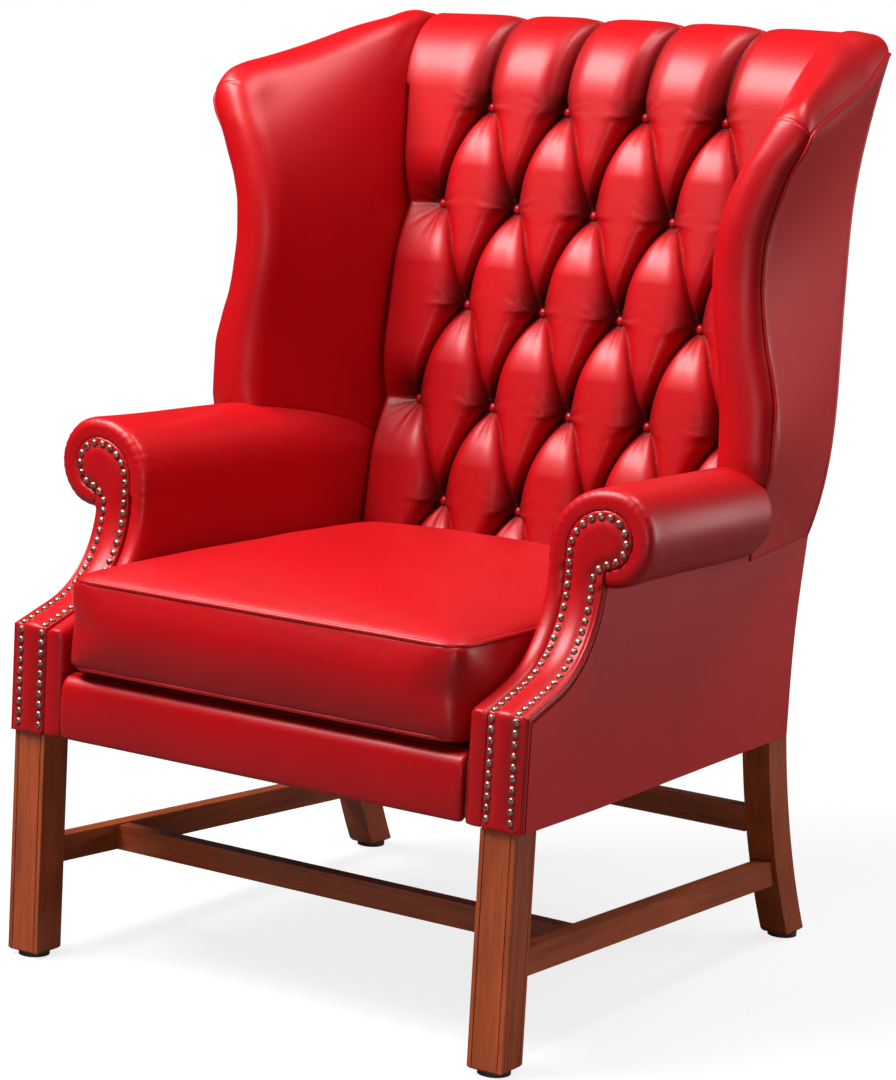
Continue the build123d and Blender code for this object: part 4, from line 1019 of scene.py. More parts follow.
def rolled_rim(outer, crown, inner, swell, across):
    """Rows over the rim, each rising from the outer edge to the crown and falling to the inner edge."""
    half = across // 2
    strip = np.zeros((len(outer), across, 3))
    for column in range(across):
        if column <= half:
            turn = column / half * math.pi / 2
            rise = swell * np.sum((crown - outer) * swell, axis=1)[:, None]
            level = (crown - outer) - rise
            strip[:, column] = outer + level * (1 - math.cos(turn)) + rise * math.sin(turn)
        else:
            turn = (column - half) / (across - 1 - half) * math.pi / 2
            rise = swell * np.sum((inner - crown) * swell, axis=1)[:, None]
            level = (inner - crown) - rise
            strip[:, column] = crown + level * math.sin(turn) + rise * (1 - math.cos(turn))
    return strip


def inside_panel(inner, corner, rows, columns):
    """Inside of the wing, from the rim back to the buttoned leather and down to the arm."""
    front = resample(inner[: corner + 1], rows)
    top = resample(inner[corner:], columns)
    seam_z = np.linspace(SEAM_FOOT, SEAM_TOP, rows)
    seam = np.stack((back_half_width(seam_z) + SEAM_GAP, button_plane(seam_z) + SEAM_BEHIND, seam_z), axis=-1)
    rolled = np.clip((seam_z - SEAM_ROLL) / (SEAM_TOP - SEAM_ROLL), 0, 1)
    seam[:, 1] = np.minimum(seam[:, 1] + SEAM_ROLL_DEPTH * rolled**2, ROLL_REAR)
    foot_x = np.linspace(front[0, 0], seam[0, 0], columns)
    foot_y = np.linspace(front[0, 1], seam[0, 1], columns)
    foot = np.stack((foot_x, foot_y, arm_surface(foot_x) - ARM_BITE), axis=-1)
    seam[:, 2] = np.linspace(foot[-1, 2], seam[-1, 2], rows)
    seam[:, 0] = back_half_width(seam[:, 2]) + SEAM_GAP
    front = front + (foot[0] - front[0]) * (1 - np.linspace(0, 1, rows)[:, None]) ** 3
    seam[-1] = top[-1]
    panel = spanned(front, seam, foot, top)
    u = np.linspace(0, 1, columns)[None, :]
    v = np.linspace(0, 1, rows)[:, None]
    panel[:, :, 0] -= PANEL_FULLNESS * np.sin(math.pi * u) ** 1.6 * np.sin(math.pi * v) ** 1.4
    return panel


def hidden_panel(outer, corner, foot_z, rows, columns):
    """Back of the padding, which the outside panel hides."""
    u = np.linspace(0, 1, columns)[None, :]
    v = np.linspace(0, 1, rows)[:, None]
    rear_z = np.linspace(foot_z, outer[-1, 2], rows)
    rear = np.stack(
        (rear_half_width(rear_z) - HIDDEN_INSET, rear_plane(rear_z) - HIDDEN_BEHIND, rear_z), axis=-1
    )
    rear[-1] = outer[-1]
    foot = np.linspace(outer[0], rear[0], columns)
    hidden = spanned(resample(outer[: corner + 1], rows), rear, foot, resample(outer[corner:], columns))
    hidden[:, :, 0] -= HIDDEN_HOLLOW * (np.sin(math.pi * u) * np.sin(math.pi * v)) ** 0.4
    return hidden


def panel_edge(first, rows, columns):
    """Indices up the front of a panel and back along its top."""
    edge = [first + row * columns for row in range(rows)]
    return edge + [first + (rows - 1) * columns + column for column in range(1, columns)]


def settling_weights(count, across, rows, columns):
    """How freely each place of the rim and the panel settles: not at all at seams and outer edges."""
    half = across // 2
    hold = np.clip((np.arange(across) - half) / (across - 1 - half), 0.0, 1.0)
    from_start = np.arange(count)
    near_ends = np.clip(from_start / 14.0, 0.0, 1.0) * np.clip((count - 1 - from_start) / 8.0, 0.0, 1.0)
    rim = (hold**2 * (3 - 2 * hold))[None, :] * near_ends[:, None]
    from_seam = np.clip((columns - 1 - np.arange(columns)) / 6.0, 0.0, 1.0)[None, :]
    panel = from_seam * np.clip(np.arange(rows) / 6.0, 0.0, 1.0)[:, None]
    return np.concatenate((rim.ravel(), panel.ravel()))


def build_wing(side, sign):
    """Rim and inside of the wing drawn as one leather, sewn at the corner, and its hidden back."""
    count, across = 420, 34
    rows, columns = 120, 90
    (outer, crown, inner, swell), corner = wing_paths(count)
    strip = rolled_rim(outer, crown, inner, swell, across)
    panel = inside_panel(inner, corner, rows, columns)
    hidden = hidden_panel(outer, corner, panel[0, -1, 2], rows, columns)
    first = count * across
    second = first + rows * columns
    grid = grid_faces(rows, columns)
    vertices = np.vstack((strip.reshape(-1, 3), panel.reshape(-1, 3)))
    faces = grid_faces(count, across) + shifted(grid, first)
    inner_edge = [row * across + across - 1 for row in range(count)]
    faces += zip_strips(vertices, inner_edge, panel_edge(first, rows, columns))
    vertices = relaxed(vertices, faces, settling_weights(count, across, rows, columns), 160)
    for row, depth in ((corner - 1, 0.5), (corner, 1.8), (corner + 1, 0.5)):
        vertices[row * across + 1 : row * across + across // 2 + 4] -= swell[row] * depth
    vertices = np.vstack((vertices, hidden.reshape(-1, 3)))
    faces += shifted(grid, second)
    outer_edge = [row * across for row in range(count)]
    faces += zip_strips(vertices, outer_edge, panel_edge(second, rows, columns))
    for row in range(rows - 1):
        inside, behind = first + row * columns + columns - 1, second + row * columns + columns - 1
        faces.append((inside, inside + columns, behind + columns, behind))
    for column in range(columns - 1):
        faces.append((first + column, first + column + 1, second + column + 1, second + column))
    faces.append(tuple(range(across)))
    faces.append(tuple((count - 1) * across + column for column in range(across)))
    piece = mesh_from(f"wing_cover_{side}", to_world(vertices * np.array((sign, 1.0, 1.0))), faces)
    points = points_of(piece.data)
    waves = soft_noise(points, 0.22, 5) * WING_WAVE * MM
    set_points(piece.data, points + normals_of(piece.data) * waves[:, None])
    dress(piece, "chair", MATERIALS["leather"], (f"wing_pad_{side}",))
    return outer


def rear_half_width(z):
    """Half width of the outside back, which swells over the arm, narrows and flares to the top."""
    stations = np.array(REAR_EDGE)
    return cubic_through(stations[:, 0], stations[:, 1], np.asarray(z, dtype=float))


def build_wing_panel(side, sign, outer):
    """Outside of the wing, stretched from the piping to the back and down to the arm."""
    rows, columns = 130, 90
    mirror = np.array((sign, 1.0, 1.0))
    corner = int(np.argmax(outer[:, 0] + (outer[:, 2] > CORNER_ABOVE) * 5))
    front = resample(np.vstack((PANEL_FRONT, outer[: corner + 1])), rows)
    top = resample(outer[corner:], columns)
    seam_z = np.linspace(PANEL_FRONT[0][2], top[-1][2], rows)
    rear = np.stack((rear_half_width(seam_z), rear_plane(seam_z) - REAR_SEAM_INSET, seam_z), axis=-1)
    rear[-1] = top[-1]
    foot = np.linspace(front[0], rear[0], columns)
    panel = spanned(front, rear, foot, top)
    tree = surface_tree(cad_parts[f"outside_wing_{side}"].data)
    for row in range(1, rows - 1):
        for column in range(1, columns - 1):
            place = Vector(to_world(panel[row, column] * mirror))
            place.x = 0.6 * sign
            found = tree.ray_cast(place, Vector((-sign, 0.0, 0.0)), 0.4)[0]
            if found is not None:
                panel[row, column, 0] = max(panel[row, column, 0], abs(found.x) / MM + PANEL_STAND)
    loose = np.zeros((rows, columns))
    loose[1:-1, 1:-1] = 1.0
    panel = relaxed(panel.reshape(-1, 3), grid_faces(rows, columns), loose.ravel(), 14)
    panel = panel.reshape(rows, columns, 3)
    inward = np.array((PANEL_THICKNESS * sign, -1.0, 0.0))
    piece = covered_grid(f"wing_outside_{side}", panel * mirror, lambda front: front - inward)
    dress(piece, "chair", MATERIALS["side"], (f"outside_wing_{side}",))
    path = np.vstack((WING_PIPING_START, PANEL_FRONT[1], outer))
    path = resample(path, 260) * mirror + np.array((1.2 * sign, -0.4, 0.6))
    piping = tube(f"wing_piping_{side}", path, WING_PIPING_RADIUS, 8)
    dress(piping, "chair", MATERIALS["leather"])


# Arms
SCROLL_UNDER = 528.0
SCROLL_RIM = 38.0
SCROLL_FULLNESS = 2.6
GATHER_LENGTH = 26.0
FACING_SWELL = 3.2
NAIL_OUTER = 348.0
NAIL_INNER = 317.0
NAIL_FOOT = 292.0
NAIL_BEND = 544.0
NAIL_MIDDLE = 590.0
NAIL_RADIUS = 27.0
NAIL_HEAD = 4.7
NAIL_RISE = 3.4


def build_arm(side):
    """Inside arm and scroll, gathered behind the rim of its front."""
    voxel = 0.0036
    piece = softened_copy(f"arm_cover_{side}", f"arm_pad_{side}", voxel, 6)
    mesh = piece.data
    points = points_of(mesh)
    x, y, z = chair_measure(points)
    x = np.abs(x)
    turn = np.arctan2(z - SCROLL_HEIGHT, x - ARM_OUT)
    radius = np.hypot(z - SCROLL_HEIGHT, x - ARM_OUT)
    back_from_rim = np.clip((y - SCROLL_FRONT) / GATHER_LENGTH, 0.0, 1.0)
    on_rim = np.clip((radius - SCROLL_RIM) / 10.0, 0.0, 1.0) * (y > SCROLL_FRONT - 6.0) * (z > SCROLL_UNDER)
    gathers = np.cos(turn * 34.0) * 0.5 + np.cos(turn * 53.0 + 1.0) * 0.35
    gathers = gathers * on_rim * (1.0 - back_from_rim) ** 1.3 * 0.55
    waves = soft_noise(points, 0.16, 11) * 0.7 * np.clip((y - 160.0) / 60.0, 0.0, 1.0)
    outward = np.clip((x - ARM_OUT) / 30.0, 0.0, 1.0)
    bulge = np.exp(-(((y - SCROLL_FRONT - 10.0) / 40.0) ** 2))
    fullness = SCROLL_FULLNESS * on_rim * outward * np.clip((y - SCROLL_FRONT + 2.0) / 6.0, 0.0, 1.0) * bulge
    set_points(mesh, points + normals_of(mesh) * ((gathers + waves + fullness) * MM)[:, None])
    smooth_faces(mesh)
    dress(piece, "chair", MATERIALS["leather"], (f"arm_pad_{side}",))


def nail_line():
    """Front view of the nail line: up the outer edge, round the scroll and down the inner edge."""
    shoulder = ARM_OUT - NAIL_INNER
    path = [(NAIL_OUTER, z) for z in np.linspace(NAIL_FOOT, NAIL_BEND, 200)]
    for share in np.linspace(0.05, 1.0, 20):
        path.append((NAIL_OUTER + 13.0 * share**1.6, NAIL_BEND + 19.0 * share))
    for turn in np.linspace(-math.pi / 2, math.pi / 2, 80)[1:]:
        path.append((ARM_OUT + NAIL_RADIUS * math.cos(turn), NAIL_MIDDLE + NAIL_RADIUS * math.sin(turn)))
    for turn in np.linspace(math.pi / 2, math.pi, 60)[1:]:
        path.append((ARM_OUT + shoulder * math.cos(turn), SHOULDER_HEIGHT + shoulder * math.sin(turn)))
    path += [(NAIL_INNER, z) for z in np.linspace(SHOULDER_HEIGHT - 1.0, NAIL_FOOT, 200)]
    return np.array(path)


def build_facing(side):
    """Nailed front of an arm, full between the two lines of nails and drawn in under them."""
    piece = softened_copy(f"arm_front_{side}", f"arm_facing_{side}", 0.0022, 9)
    mesh = piece.data
    points = points_of(mesh)
    normals = normals_of(mesh)
    x, _, z = chair_measure(points)
    nearest = np.full(len(points), 1e9)
    for line_x, line_z in nail_line()[::3]:
        nearest = np.minimum(nearest, (np.abs(x) - line_x) ** 2 + (z - line_z) ** 2)
    nearest = np.sqrt(nearest)
    forward = np.clip(-normals[:, 1] + np.clip(normals[:, 2], 0, 1), 0, 1)
    swell = (1.0 - np.exp(-((nearest / 7.0) ** 2))) * FACING_SWELL - 0.2
    set_points(mesh, points + normals * (swell * forward * MM)[:, None])
    smooth_faces(mesh)
    dress(piece, "chair", MATERIALS["leather"], (f"arm_facing_{side}",))


def build_nails(side, sign, domes, settings):
    """Brass nails along the line, each a little uneven in its size and lean."""
    mirror = np.array((sign, 1.0, 1.0))
    line = np.array([(x, arm_front(z), z) for x, z in nail_line()])
    length = np.linalg.norm(np.diff(line, axis=0), axis=1).sum() * MM
    source = np.random.default_rng(17)
    places, directions = [], []
    for x, _, z in resample(line, int(length / settings.nail_pitch)):
        normal = arm_front_normal(z)
        places.append((np.array((x, arm_front(z), z)) + normal * 0.2) * mirror)
        directions.append((normal + source.normal(size=3) * 0.05) * mirror)
    sizes = source.uniform(0.95, 1.04, len(places))
    nails = spread_domes(
        f"brass_nails_{side}", domes, places, directions, sizes, NAIL_HEAD * MM, NAIL_RISE * MM,
        MATERIALS["brass"],
    )
    dress(nails, "chair", MATERIALS["brass"], (f"nail_trim_{side}",))


# Seat
CUSHION_MIDDLE = 297.0
CUSHION_HALF_WIDTH = 279.0
CUSHION_HALF_DEPTH = 311.0
LOWER_SEAM = 371.0
UPPER_SEAM = 476.0
SEAM_REACH = 9.0
STUFFING_CAP = 9.0
BOXING_FORWARD = 5.0
BOXING_SIDE = 4.0
CUSHION_FOOT = 360.0  # what is lower rests on the platform and stays flat
CROWN_START = 440.0
SEWN_HALF_WIDTH = 262.0
SEWN_HALF_DEPTH = 290.0
PIPING_HALF_WIDTH = 278.5
PIPING_FRONT = -13.0
PIPING_REAR = 606.5
PIPING_CORNER = 24.0
PIPING_LIMIT = 281.5
PIPING_RADIUS = 3.0
BORDER_MIDDLE = 318.0
BORDER_REACH = 36.0
BORDER_PUFF = 3.2
PLATFORM_HALF_WIDTH = 311.0
PLATFORM_FRONT = 17.5
PLATFORM_REAR = 647.0
PLATFORM_STAND = 0.25
PLATFORM_THICKNESS = 1.4


def stuffed(piece, before):
    """Cushion blown up by its stuffing while its seams hold; gives how far each place moves."""
    x, y, z = chair_measure(before)
    lines = np.minimum(np.abs(z - LOWER_SEAM), np.abs(z - UPPER_SEAM))
    outer = np.maximum(np.abs(x) - SEWN_HALF_WIDTH, np.abs(y - CUSHION_MIDDLE) - SEWN_HALF_DEPTH)
    pinned = np.clip(1.0 - lines / SEAM_REACH, 0.0, 1.0) * (outer > 0)
    group = piece.vertex_groups.new(name="sewn")
    for index in np.nonzero(pinned > 0.02)[0]:
        group.add([int(index)], float(pinned[index]), "REPLACE")
    cloth = piece.modifiers.new("stuffing", "CLOTH")
    cloth.settings.use_pressure = True
    cloth.settings.uniform_pressure_force = 4.0
    cloth.settings.effector_weights.gravity = 0.0
    cloth.settings.vertex_group_mass = "sewn"
    cloth.settings.quality = 4
    cloth.settings.mass = 0.4
    scene = bpy.context.scene
    scene.frame_start, scene.frame_end = 1, 20
    for number in range(1, 21):
        scene.frame_set(number)
    baked(piece)
    scene.frame_set(1)
    moved = points_of(piece.data) - before
    length = np.linalg.norm(moved, axis=1)
    cap = STUFFING_CAP * MM
    return moved * np.where(length > cap, cap / np.maximum(length, 1e-9), 1.0)[:, None]


def build_cushion(settings):
    """Loose box cushion: crowned, full at its sides, and flat where it rests on the platform."""
    piece = softened_copy("cushion_cover", "seat_cushion", 0.006, 4, inset=0.0015)
    before = points_of(piece.data)
    moved = stuffed(piece, before)
    moved[before[:, 2] < CUSHION_FOOT * MM] = 0.0
    points = before + moved
    x, y, z = chair_measure(points)
    across = np.clip(1.0 - np.abs(x / CUSHION_HALF_WIDTH) ** 2.6, 0.0, 1.0)
    along = np.clip(1.0 - np.abs((y - CUSHION_MIDDLE) / CUSHION_HALF_DEPTH) ** 2.6, 0.0, 1.0)
    points[:, 2] += settings.cushion_crown * across * along * np.clip((z - CROWN_START) / 40.0, 0.0, 1.0)
    boxing = np.sin(np.clip((z - LOWER_SEAM) / (UPPER_SEAM - LOWER_SEAM), 0.0, 1.0) * math.pi)
    points[:, 1] -= BOXING_FORWARD * MM * boxing * np.clip((40.0 - y) / 40.0, 0.0, 1.0)
    sideways = np.sign(x) * boxing * np.clip((np.abs(x) - 240.0) / 40.0, 0.0, 1.0)
    points[:, 0] += BOXING_SIDE * MM * sideways
    limit = (ARM_INNER - 0.8) * MM
    points[:, 0] = np.clip(points[:, 0], -limit, limit)
    set_points(piece.data, points)
    relax = piece.modifiers.new("settle", "SMOOTH")
    relax.factor = 0.5
    relax.iterations = 4
    finer = piece.modifiers.new("finer", "SUBSURF")
    finer.levels = finer.render_levels = 1
    baked(piece)
    mesh = piece.data
    points = points_of(mesh)
    creases = soft_noise(points, 0.12, 23) * 0.5 + soft_noise(points * np.array((1, 1, 2.5)), 0.05, 29) * 0.12
    points = points + normals_of(mesh) * (creases * MM)[:, None]
    points[:, 2] = np.maximum(points[:, 2], (DECK_TOP + 0.5) * MM)
    set_points(mesh, points)
    smooth_faces(mesh)
    dress(piece, "cushion", MATERIALS["leather"], ("seat_cushion",))
    build_cushion_piping(piece)


def cushion_outline(level):
    """Rounded rectangle that the cushion's piping follows, before it is laid on the leather."""
    side = PIPING_HALF_WIDTH - PIPING_CORNER
    front, rear = PIPING_FRONT + PIPING_CORNER, PIPING_REAR - PIPING_CORNER
    outline = []
    for x, y, start in ((side, front, -90), (side, rear, 0), (-side, rear, 90), (-side, front, 180)):
        for turn in np.radians(np.linspace(start, start + 90, 12)):
            outline.append((x + PIPING_CORNER * math.cos(turn), y + PIPING_CORNER * math.sin(turn), level))
    outline.append(outline[0])
    return resample(np.array(outline), 261)[:-1]


def build_cushion_piping(cushion):
    """Piping laid on the cushion's two edges, wherever the stuffing has left them."""
    tree = surface_tree(cushion.data)
    for name, level, replaced in (("lower", LOWER_SEAM, ("cushion_welts",)), ("upper", UPPER_SEAM, ())):
        path = cushion_outline(level)
        for index, point in enumerate(path):
            place = Vector(to_world(point))
            outward = place - Vector(to_world((0.0, CUSHION_MIDDLE, point[2])))
            outward.normalize()
            hit = tree.ray_cast(place + outward * 0.03, -outward, 0.08)
            if hit[0] is not None:
                found = np.array(hit[0]) / MM + np.array((0, DEPTH_ORIGIN, 0))
                path[index] = found + np.array(outward) * 0.6
        path[:, 0] = np.clip(path[:, 0], -PIPING_LIMIT, PIPING_LIMIT)
        for _ in range(2):
            path = (np.roll(path, 1, axis=0) + 2 * path + np.roll(path, -1, axis=0)) / 4
        piping = tube(f"cushion_piping_{name}", path, PIPING_RADIUS, 10, closed=True)
        dress(piping, "cushion", MATERIALS["leather"], replaced)


def build_border():
    """Leather border over the front rail, puffed a little along its middle."""
    piece = softened_copy("front_border_cover", "front_border", 0.003, 10)
    mesh = piece.data
    points = points_of(mesh)
    normals = normals_of(mesh)
    waves = soft_noise(points, 0.18, 31) * 0.6
    forward = np.clip(-normals[:, 1], 0.0, 1.0)
    from_middle = np.abs(points[:, 2] / MM - BORDER_MIDDLE)
    middle = 1.0 - (np.clip(from_middle / BORDER_REACH, 0.0, 1.0)) ** 2
    puff = forward * (BORDER_PUFF * middle + waves * 0.5)
    set_points(mesh, points + normals * (puff * MM)[:, None])
    smooth_faces(mesh)
    dress(piece, "chair", MATERIALS["leather"], ("front_border",))


def build_deck():
    """Platform cover drawn flat over the straps, from arm to arm."""
    width = np.linspace(-PLATFORM_HALF_WIDTH, PLATFORM_HALF_WIDTH, 60)
    x, y = np.meshgrid(width, np.linspace(PLATFORM_FRONT, PLATFORM_REAR, 60))
    points = np.stack((x, y, np.full_like(x, DECK_TOP + PLATFORM_STAND)), axis=-1)
    drop = np.array((0.0, 0.0, PLATFORM_THICKNESS))
    piece = covered_grid("seat_platform_cover", points, lambda top: top - drop)
    dress(piece, "chair", MATERIALS["leather"], ("seat_deck",))


# Finish of each frame piece that stays in sight, by its name without left or right
NODE_FINISH = {
    "front_leg": "woodZ", "rear_leg": "woodZ", "side_stretcher": "woodY", "cross_stretcher": "woodX",
    "rear_stretcher": "woodX", "foot_glides": "glide", "front_seat_rail": "frame", "rear_seat_rail": "frame",
    "side_seat_rail": "frame", "corner_blocks": "frame", "back_post": "frame", "crest_rail": "frame",
    "lower_back_rail": "frame", "arm_rail": "frame", "arm_stump": "frame", "wing_stile": "frame",
    "wing_rail": "frame", "seat_webbing": "webbing", "back_lining": "webbing", "dust_cover": "under",
    "outside_arm": "side", "outside_back": "side",
}


def finish_nodes():
    """Gives every piece of the frame its own finish."""
    for name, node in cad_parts.items():
        kind = name.removesuffix("_left").removesuffix("_right")
        node.data.materials.clear()
        node.data.materials.append(MATERIALS[NODE_FINISH.get(kind, "leather")])


# Studio; the camera's numbers are solved on the photograph, in its pixels and in metres
PHOTO_WIDTH = 896.0
PHOTO_HEIGHT = 1080.0
FOCAL_PIXELS = 3090.69
CENTRE_COLUMN = 447.51
CENTRE_ROW = 536.91
SENSOR_WIDTH = 36.0
CAMERA_ANGLES = (32.140, 8.993, 3.179)  # azimuth, elevation and roll in degrees
CAMERA_PLACE = (2.0155, -3.2078, 1.1211)


def build_floor():
    """Floor that the camera sees as white and that keeps the chair's shadow."""
    size = 14.0
    corners = [(-size, -size, 0), (size, -size, 0), (size, size, 0), (-size, size, 0)]
    mesh = bpy.data.meshes.new("studio_floor")
    mesh.from_pydata(corners, [], [(0, 1, 2, 3)])
    floor = link_mesh("studio_floor", mesh)
    material = bpy.data.materials.new("studio_white")
    material.use_nodes = True
    tree = material.node_tree
    tree.nodes.clear()
    place = object_place(tree)
    reach = add_node(tree, "ShaderNodeVectorMath", {0: place}, operation="LENGTH").outputs["Value"]
    ends = {"Value": reach, "From Min": 0.7, "From Max": 2.6, "To Min": 0.82, "To Max": 1.0}
    fade = add_node(tree, "ShaderNodeMapRange", ends, interpolation_type="SMOOTHSTEP").outputs["Result"]
    seen = tree.nodes.new("ShaderNodeLightPath").outputs["Is Camera Ray"]
    strength = add_math(tree, "MULTIPLY", fade, seen)
    glow = add_node(tree, "ShaderNodeEmission", {"Color": (1.0, 1.0, 1.0, 1.0), "Strength": strength})
    matte = add_node(tree, "ShaderNodeBsdfDiffuse", {"Color": (0.16, 0.16, 0.16, 1.0)})
    both = add_node(tree, "ShaderNodeAddShader", {0: matte.outputs["BSDF"], 1: glow.outputs["Emission"]})
    add_node(tree, "ShaderNodeOutputMaterial", {"Surface": both.outputs["Shader"]})
    floor.data.materials.append(material)


def build_world():
    """White to the camera, and only a faint ambient light on the chair."""
    world = bpy.data.worlds.new("studio")
    bpy.context.scene.world = world
    world.use_nodes = True
    tree = world.node_tree
    tree.nodes.clear()
    shown = add_node(tree, "ShaderNodeBackground", {"Color": (1.0, 1.0, 1.0, 1.0)})
    ambient = add_node(tree, "ShaderNodeBackground", {"Color": (0.97, 0.98, 1.0, 1.0), "Strength": 0.05})
    rays = tree.nodes.new("ShaderNodeLightPath").outputs
    seen = add_math(tree, "MAXIMUM", rays["Is Camera Ray"], rays["Is Transmission Ray"])
    inputs = {"Fac": seen, 1: ambient.outputs["Background"], 2: shown.outputs["Background"]}
    mix = add_node(tree, "ShaderNodeMixShader", inputs)
    add_node(tree, "ShaderNodeOutputWorld", {"Surface": mix.outputs["Shader"]})


def add_lamp(name, place, target, width, height, power):
    """Soft rectangular lamp that faces a target."""
    data = bpy.data.lights.new(name, "AREA")
    data.shape = "RECTANGLE"
    data.size, data.size_y = width, height
    data.energy = power
    lamp = bpy.data.objects.new(name, data)
    bpy.context.scene.collection.objects.link(lamp)
    lamp.location = place
    lamp.rotation_euler = (Vector(target) - Vector(place)).to_track_quat("-Z", "Y").to_euler()


def build_lamps():
    add_lamp("overhead_softbox", (-1.0, -1.25, 2.8), (0.0, 0.1, 0.7), 1.9, 1.2, 205.0)
    add_lamp("top_back_softbox", (0.8, 0.3, 2.8), (0.1, 0.2, 0.9), 1.2, 0.7, 40.0)
    add_lamp("side_softbox", (2.7, 2.5, 1.2), (0.3, 0.2, 0.8), 1.6, 1.6, 50.0)
    add_lamp("low_fill", (1.7, -3.0, 0.6), (0.0, 0.0, 0.2), 1.2, 0.8, 16.0)


def build_camera():
    """Camera at the photograph's own viewpoint, with its slight roll."""
    azimuth, elevation, roll = (math.radians(value) for value in CAMERA_ANGLES)
    level = math.cos(elevation)
    back = Vector((math.sin(azimuth) * level, -math.cos(azimuth) * level, math.sin(elevation)))
    right = (-back).cross(Vector((0, 0, 1))).normalized()
    up = right.cross(-back)
    turned_right = math.cos(roll) * right + math.sin(roll) * up
    turned_up = -math.sin(roll) * right + math.cos(roll) * up
    data = bpy.data.cameras.new("photograph_view")
    data.sensor_fit = "AUTO"
    data.sensor_width = SENSOR_WIDTH
    data.lens = FOCAL_PIXELS * SENSOR_WIDTH / PHOTO_HEIGHT
    data.shift_x = (PHOTO_WIDTH / 2 - CENTRE_COLUMN) / PHOTO_HEIGHT
    data.shift_y = (CENTRE_ROW - PHOTO_HEIGHT / 2) / PHOTO_HEIGHT
    data.clip_end = 60.0
    camera = bpy.data.objects.new("photograph_view", data)
    bpy.context.scene.collection.objects.link(camera)
    basis = Matrix((turned_right, turned_up, back)).transposed()
    camera.matrix_world = Matrix.Translation(CAMERA_PLACE) @ basis.to_4x4()
    bpy.context.scene.camera = camera
    bpy.context.scene.view_settings.view_transform = "Standard"


# Add-on
class WingChairSettings(bpy.types.PropertyGroup):
    leather_colour: bpy.props.FloatVectorProperty(
        name="Leather", description="Colour of the red hide", subtype="COLOR", size=3, min=0, max=1,
        default=(0.36, 0.0002, 0.0025),
    )
    # Outside hide: the same red hide, painted lighter than the front to make up for the dimmer light on the
    # outside panels; its lower gloss is its own
    side_lit_colour: bpy.props.FloatVectorProperty(
        name="Outside leather", description="Duller hide on the outside panels", subtype="COLOR", size=3,
        min=0, max=1, default=(0.46, 0.002, 0.004),
    )
    wood_light: bpy.props.FloatVectorProperty(
        name="Mahogany, light", description="Lighter figure of the wood", subtype="COLOR", size=3,
        min=0, max=1, default=(0.52, 0.098, 0.024),
    )
    wood_dark: bpy.props.FloatVectorProperty(
        name="Mahogany, dark", description="Darker figure of the wood", subtype="COLOR", size=3,
        min=0, max=1, default=(0.22, 0.036, 0.012),
    )
    leather_roughness: bpy.props.FloatProperty(
        name="Leather roughness", description="How dull the hide is", subtype="FACTOR", min=0, max=1,
        default=0.40,
    )
    tuft_depth: bpy.props.FloatProperty(
        name="Tuft depth", description="Swell of the buttoned leather in millimetres", min=10, max=45,
        default=40.0,
    )
    pleat_rise: bpy.props.FloatProperty(
        name="Pleat rise", description="Height of the folds between buttons in millimetres", min=0, max=30,
        default=20.0,
    )
    cushion_crown: bpy.props.FloatProperty(
        name="Cushion crown", description="Rise of the cushion's middle", unit="LENGTH", min=0, max=0.03,
        default=0.013,
    )
    nail_pitch: bpy.props.FloatProperty(
        name="Nail pitch", description="Distance between nails", unit="LENGTH", min=0.005, max=0.05,
        default=0.0123,
    )


class WINGCHAIR_OT_materials(bpy.types.Operator):
    """Make the leather, wood, cloth and brass finishes and put them on the frame's own pieces"""

    bl_idname = "wingchair.materials"
    bl_label = "Finishes"

    def execute(self, context):
        build_materials(context.scene.wing_chair)
        finish_nodes()
        return {"FINISHED"}


class WINGCHAIR_OT_back(bpy.types.Operator):
    """Upholster the inside back in deep-buttoned leather and set its covered buttons"""

    bl_idname = "wingchair.back"
    bl_label = "Buttoned back"

    def execute(self, context):
        build_tufted_back(context.scene.wing_chair)
        build_buttons()
        return {"FINISHED"}


class WINGCHAIR_OT_wings(bpy.types.Operator):
    """Pad the wings, cover their outsides and run the piping between"""

    bl_idname = "wingchair.wings"
    bl_label = "Wings"

    def execute(self, context):
        for side, sign in SIDES:
            outer = build_wing(side, sign)
            build_wing_panel(side, sign, outer)
        return {"FINISHED"}


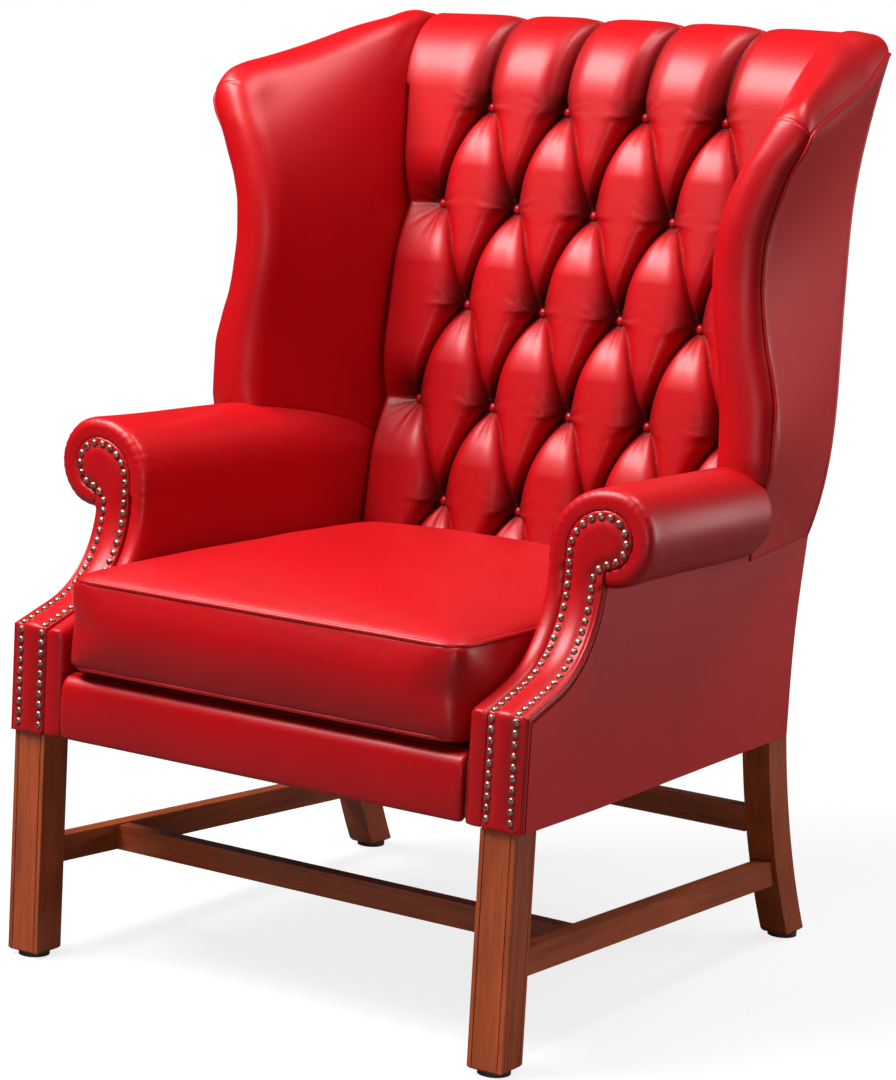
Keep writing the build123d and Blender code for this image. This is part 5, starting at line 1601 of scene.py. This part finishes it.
class WINGCHAIR_OT_arms(bpy.types.Operator):
    """Cover the scroll arms and nail their fronts"""

    bl_idname = "wingchair.arms"
    bl_label = "Arms and nails"

    def execute(self, context):
        settings = context.scene.wing_chair
        domes = dome_tree("nail_heads")
        for side, sign in SIDES:
            build_arm(side)
            build_facing(side)
            build_nails(side, sign, domes, settings)
        return {"FINISHED"}


class WINGCHAIR_OT_seat(bpy.types.Operator):
    """Stuff the loose cushion, pipe its edges and cover the border and platform below it"""

    bl_idname = "wingchair.seat"
    bl_label = "Seat"

    def execute(self, context):
        build_cushion(context.scene.wing_chair)
        build_border()
        build_deck()
        return {"FINISHED"}


class WINGCHAIR_OT_stage(bpy.types.Operator):
    """Set the floor, the lamps and the camera"""

    bl_idname = "wingchair.stage"
    bl_label = "Studio"

    def execute(self, context):
        build_floor()
        build_world()
        build_lamps()
        build_camera()
        return {"FINISHED"}


OPERATORS = (
    WINGCHAIR_OT_materials, WINGCHAIR_OT_back, WINGCHAIR_OT_wings, WINGCHAIR_OT_arms, WINGCHAIR_OT_seat,
    WINGCHAIR_OT_stage,
)


class WINGCHAIR_PT_panel(bpy.types.Panel):
    """Buttons and sizes of the wing chair"""

    bl_idname = "WINGCHAIR_PT_panel"
    bl_label = "Wing Chair"
    bl_space_type = "VIEW_3D"
    bl_region_type = "UI"
    bl_category = "Wing Chair"

    def draw(self, context):
        settings = context.scene.wing_chair
        for name in WingChairSettings.__annotations__:
            self.layout.prop(settings, name)
        for operator in OPERATORS:
            self.layout.operator(operator.bl_idname)


CLASSES = (WingChairSettings, *OPERATORS, WINGCHAIR_PT_panel)


def register():
    for item in CLASSES:
        bpy.utils.register_class(item)
    bpy.types.Scene.wing_chair = bpy.props.PointerProperty(type=WingChairSettings)


def unregister():
    del bpy.types.Scene.wing_chair
    for item in reversed(CLASSES):
        bpy.utils.unregister_class(item)


def main():
    register()
    bpy.ops.wingchair.materials()
    bpy.ops.wingchair.back()
    bpy.ops.wingchair.wings()
    bpy.ops.wingchair.arms()
    bpy.ops.wingchair.seat()
    bpy.ops.wingchair.stage()


if __name__ == "__main__":
    main()
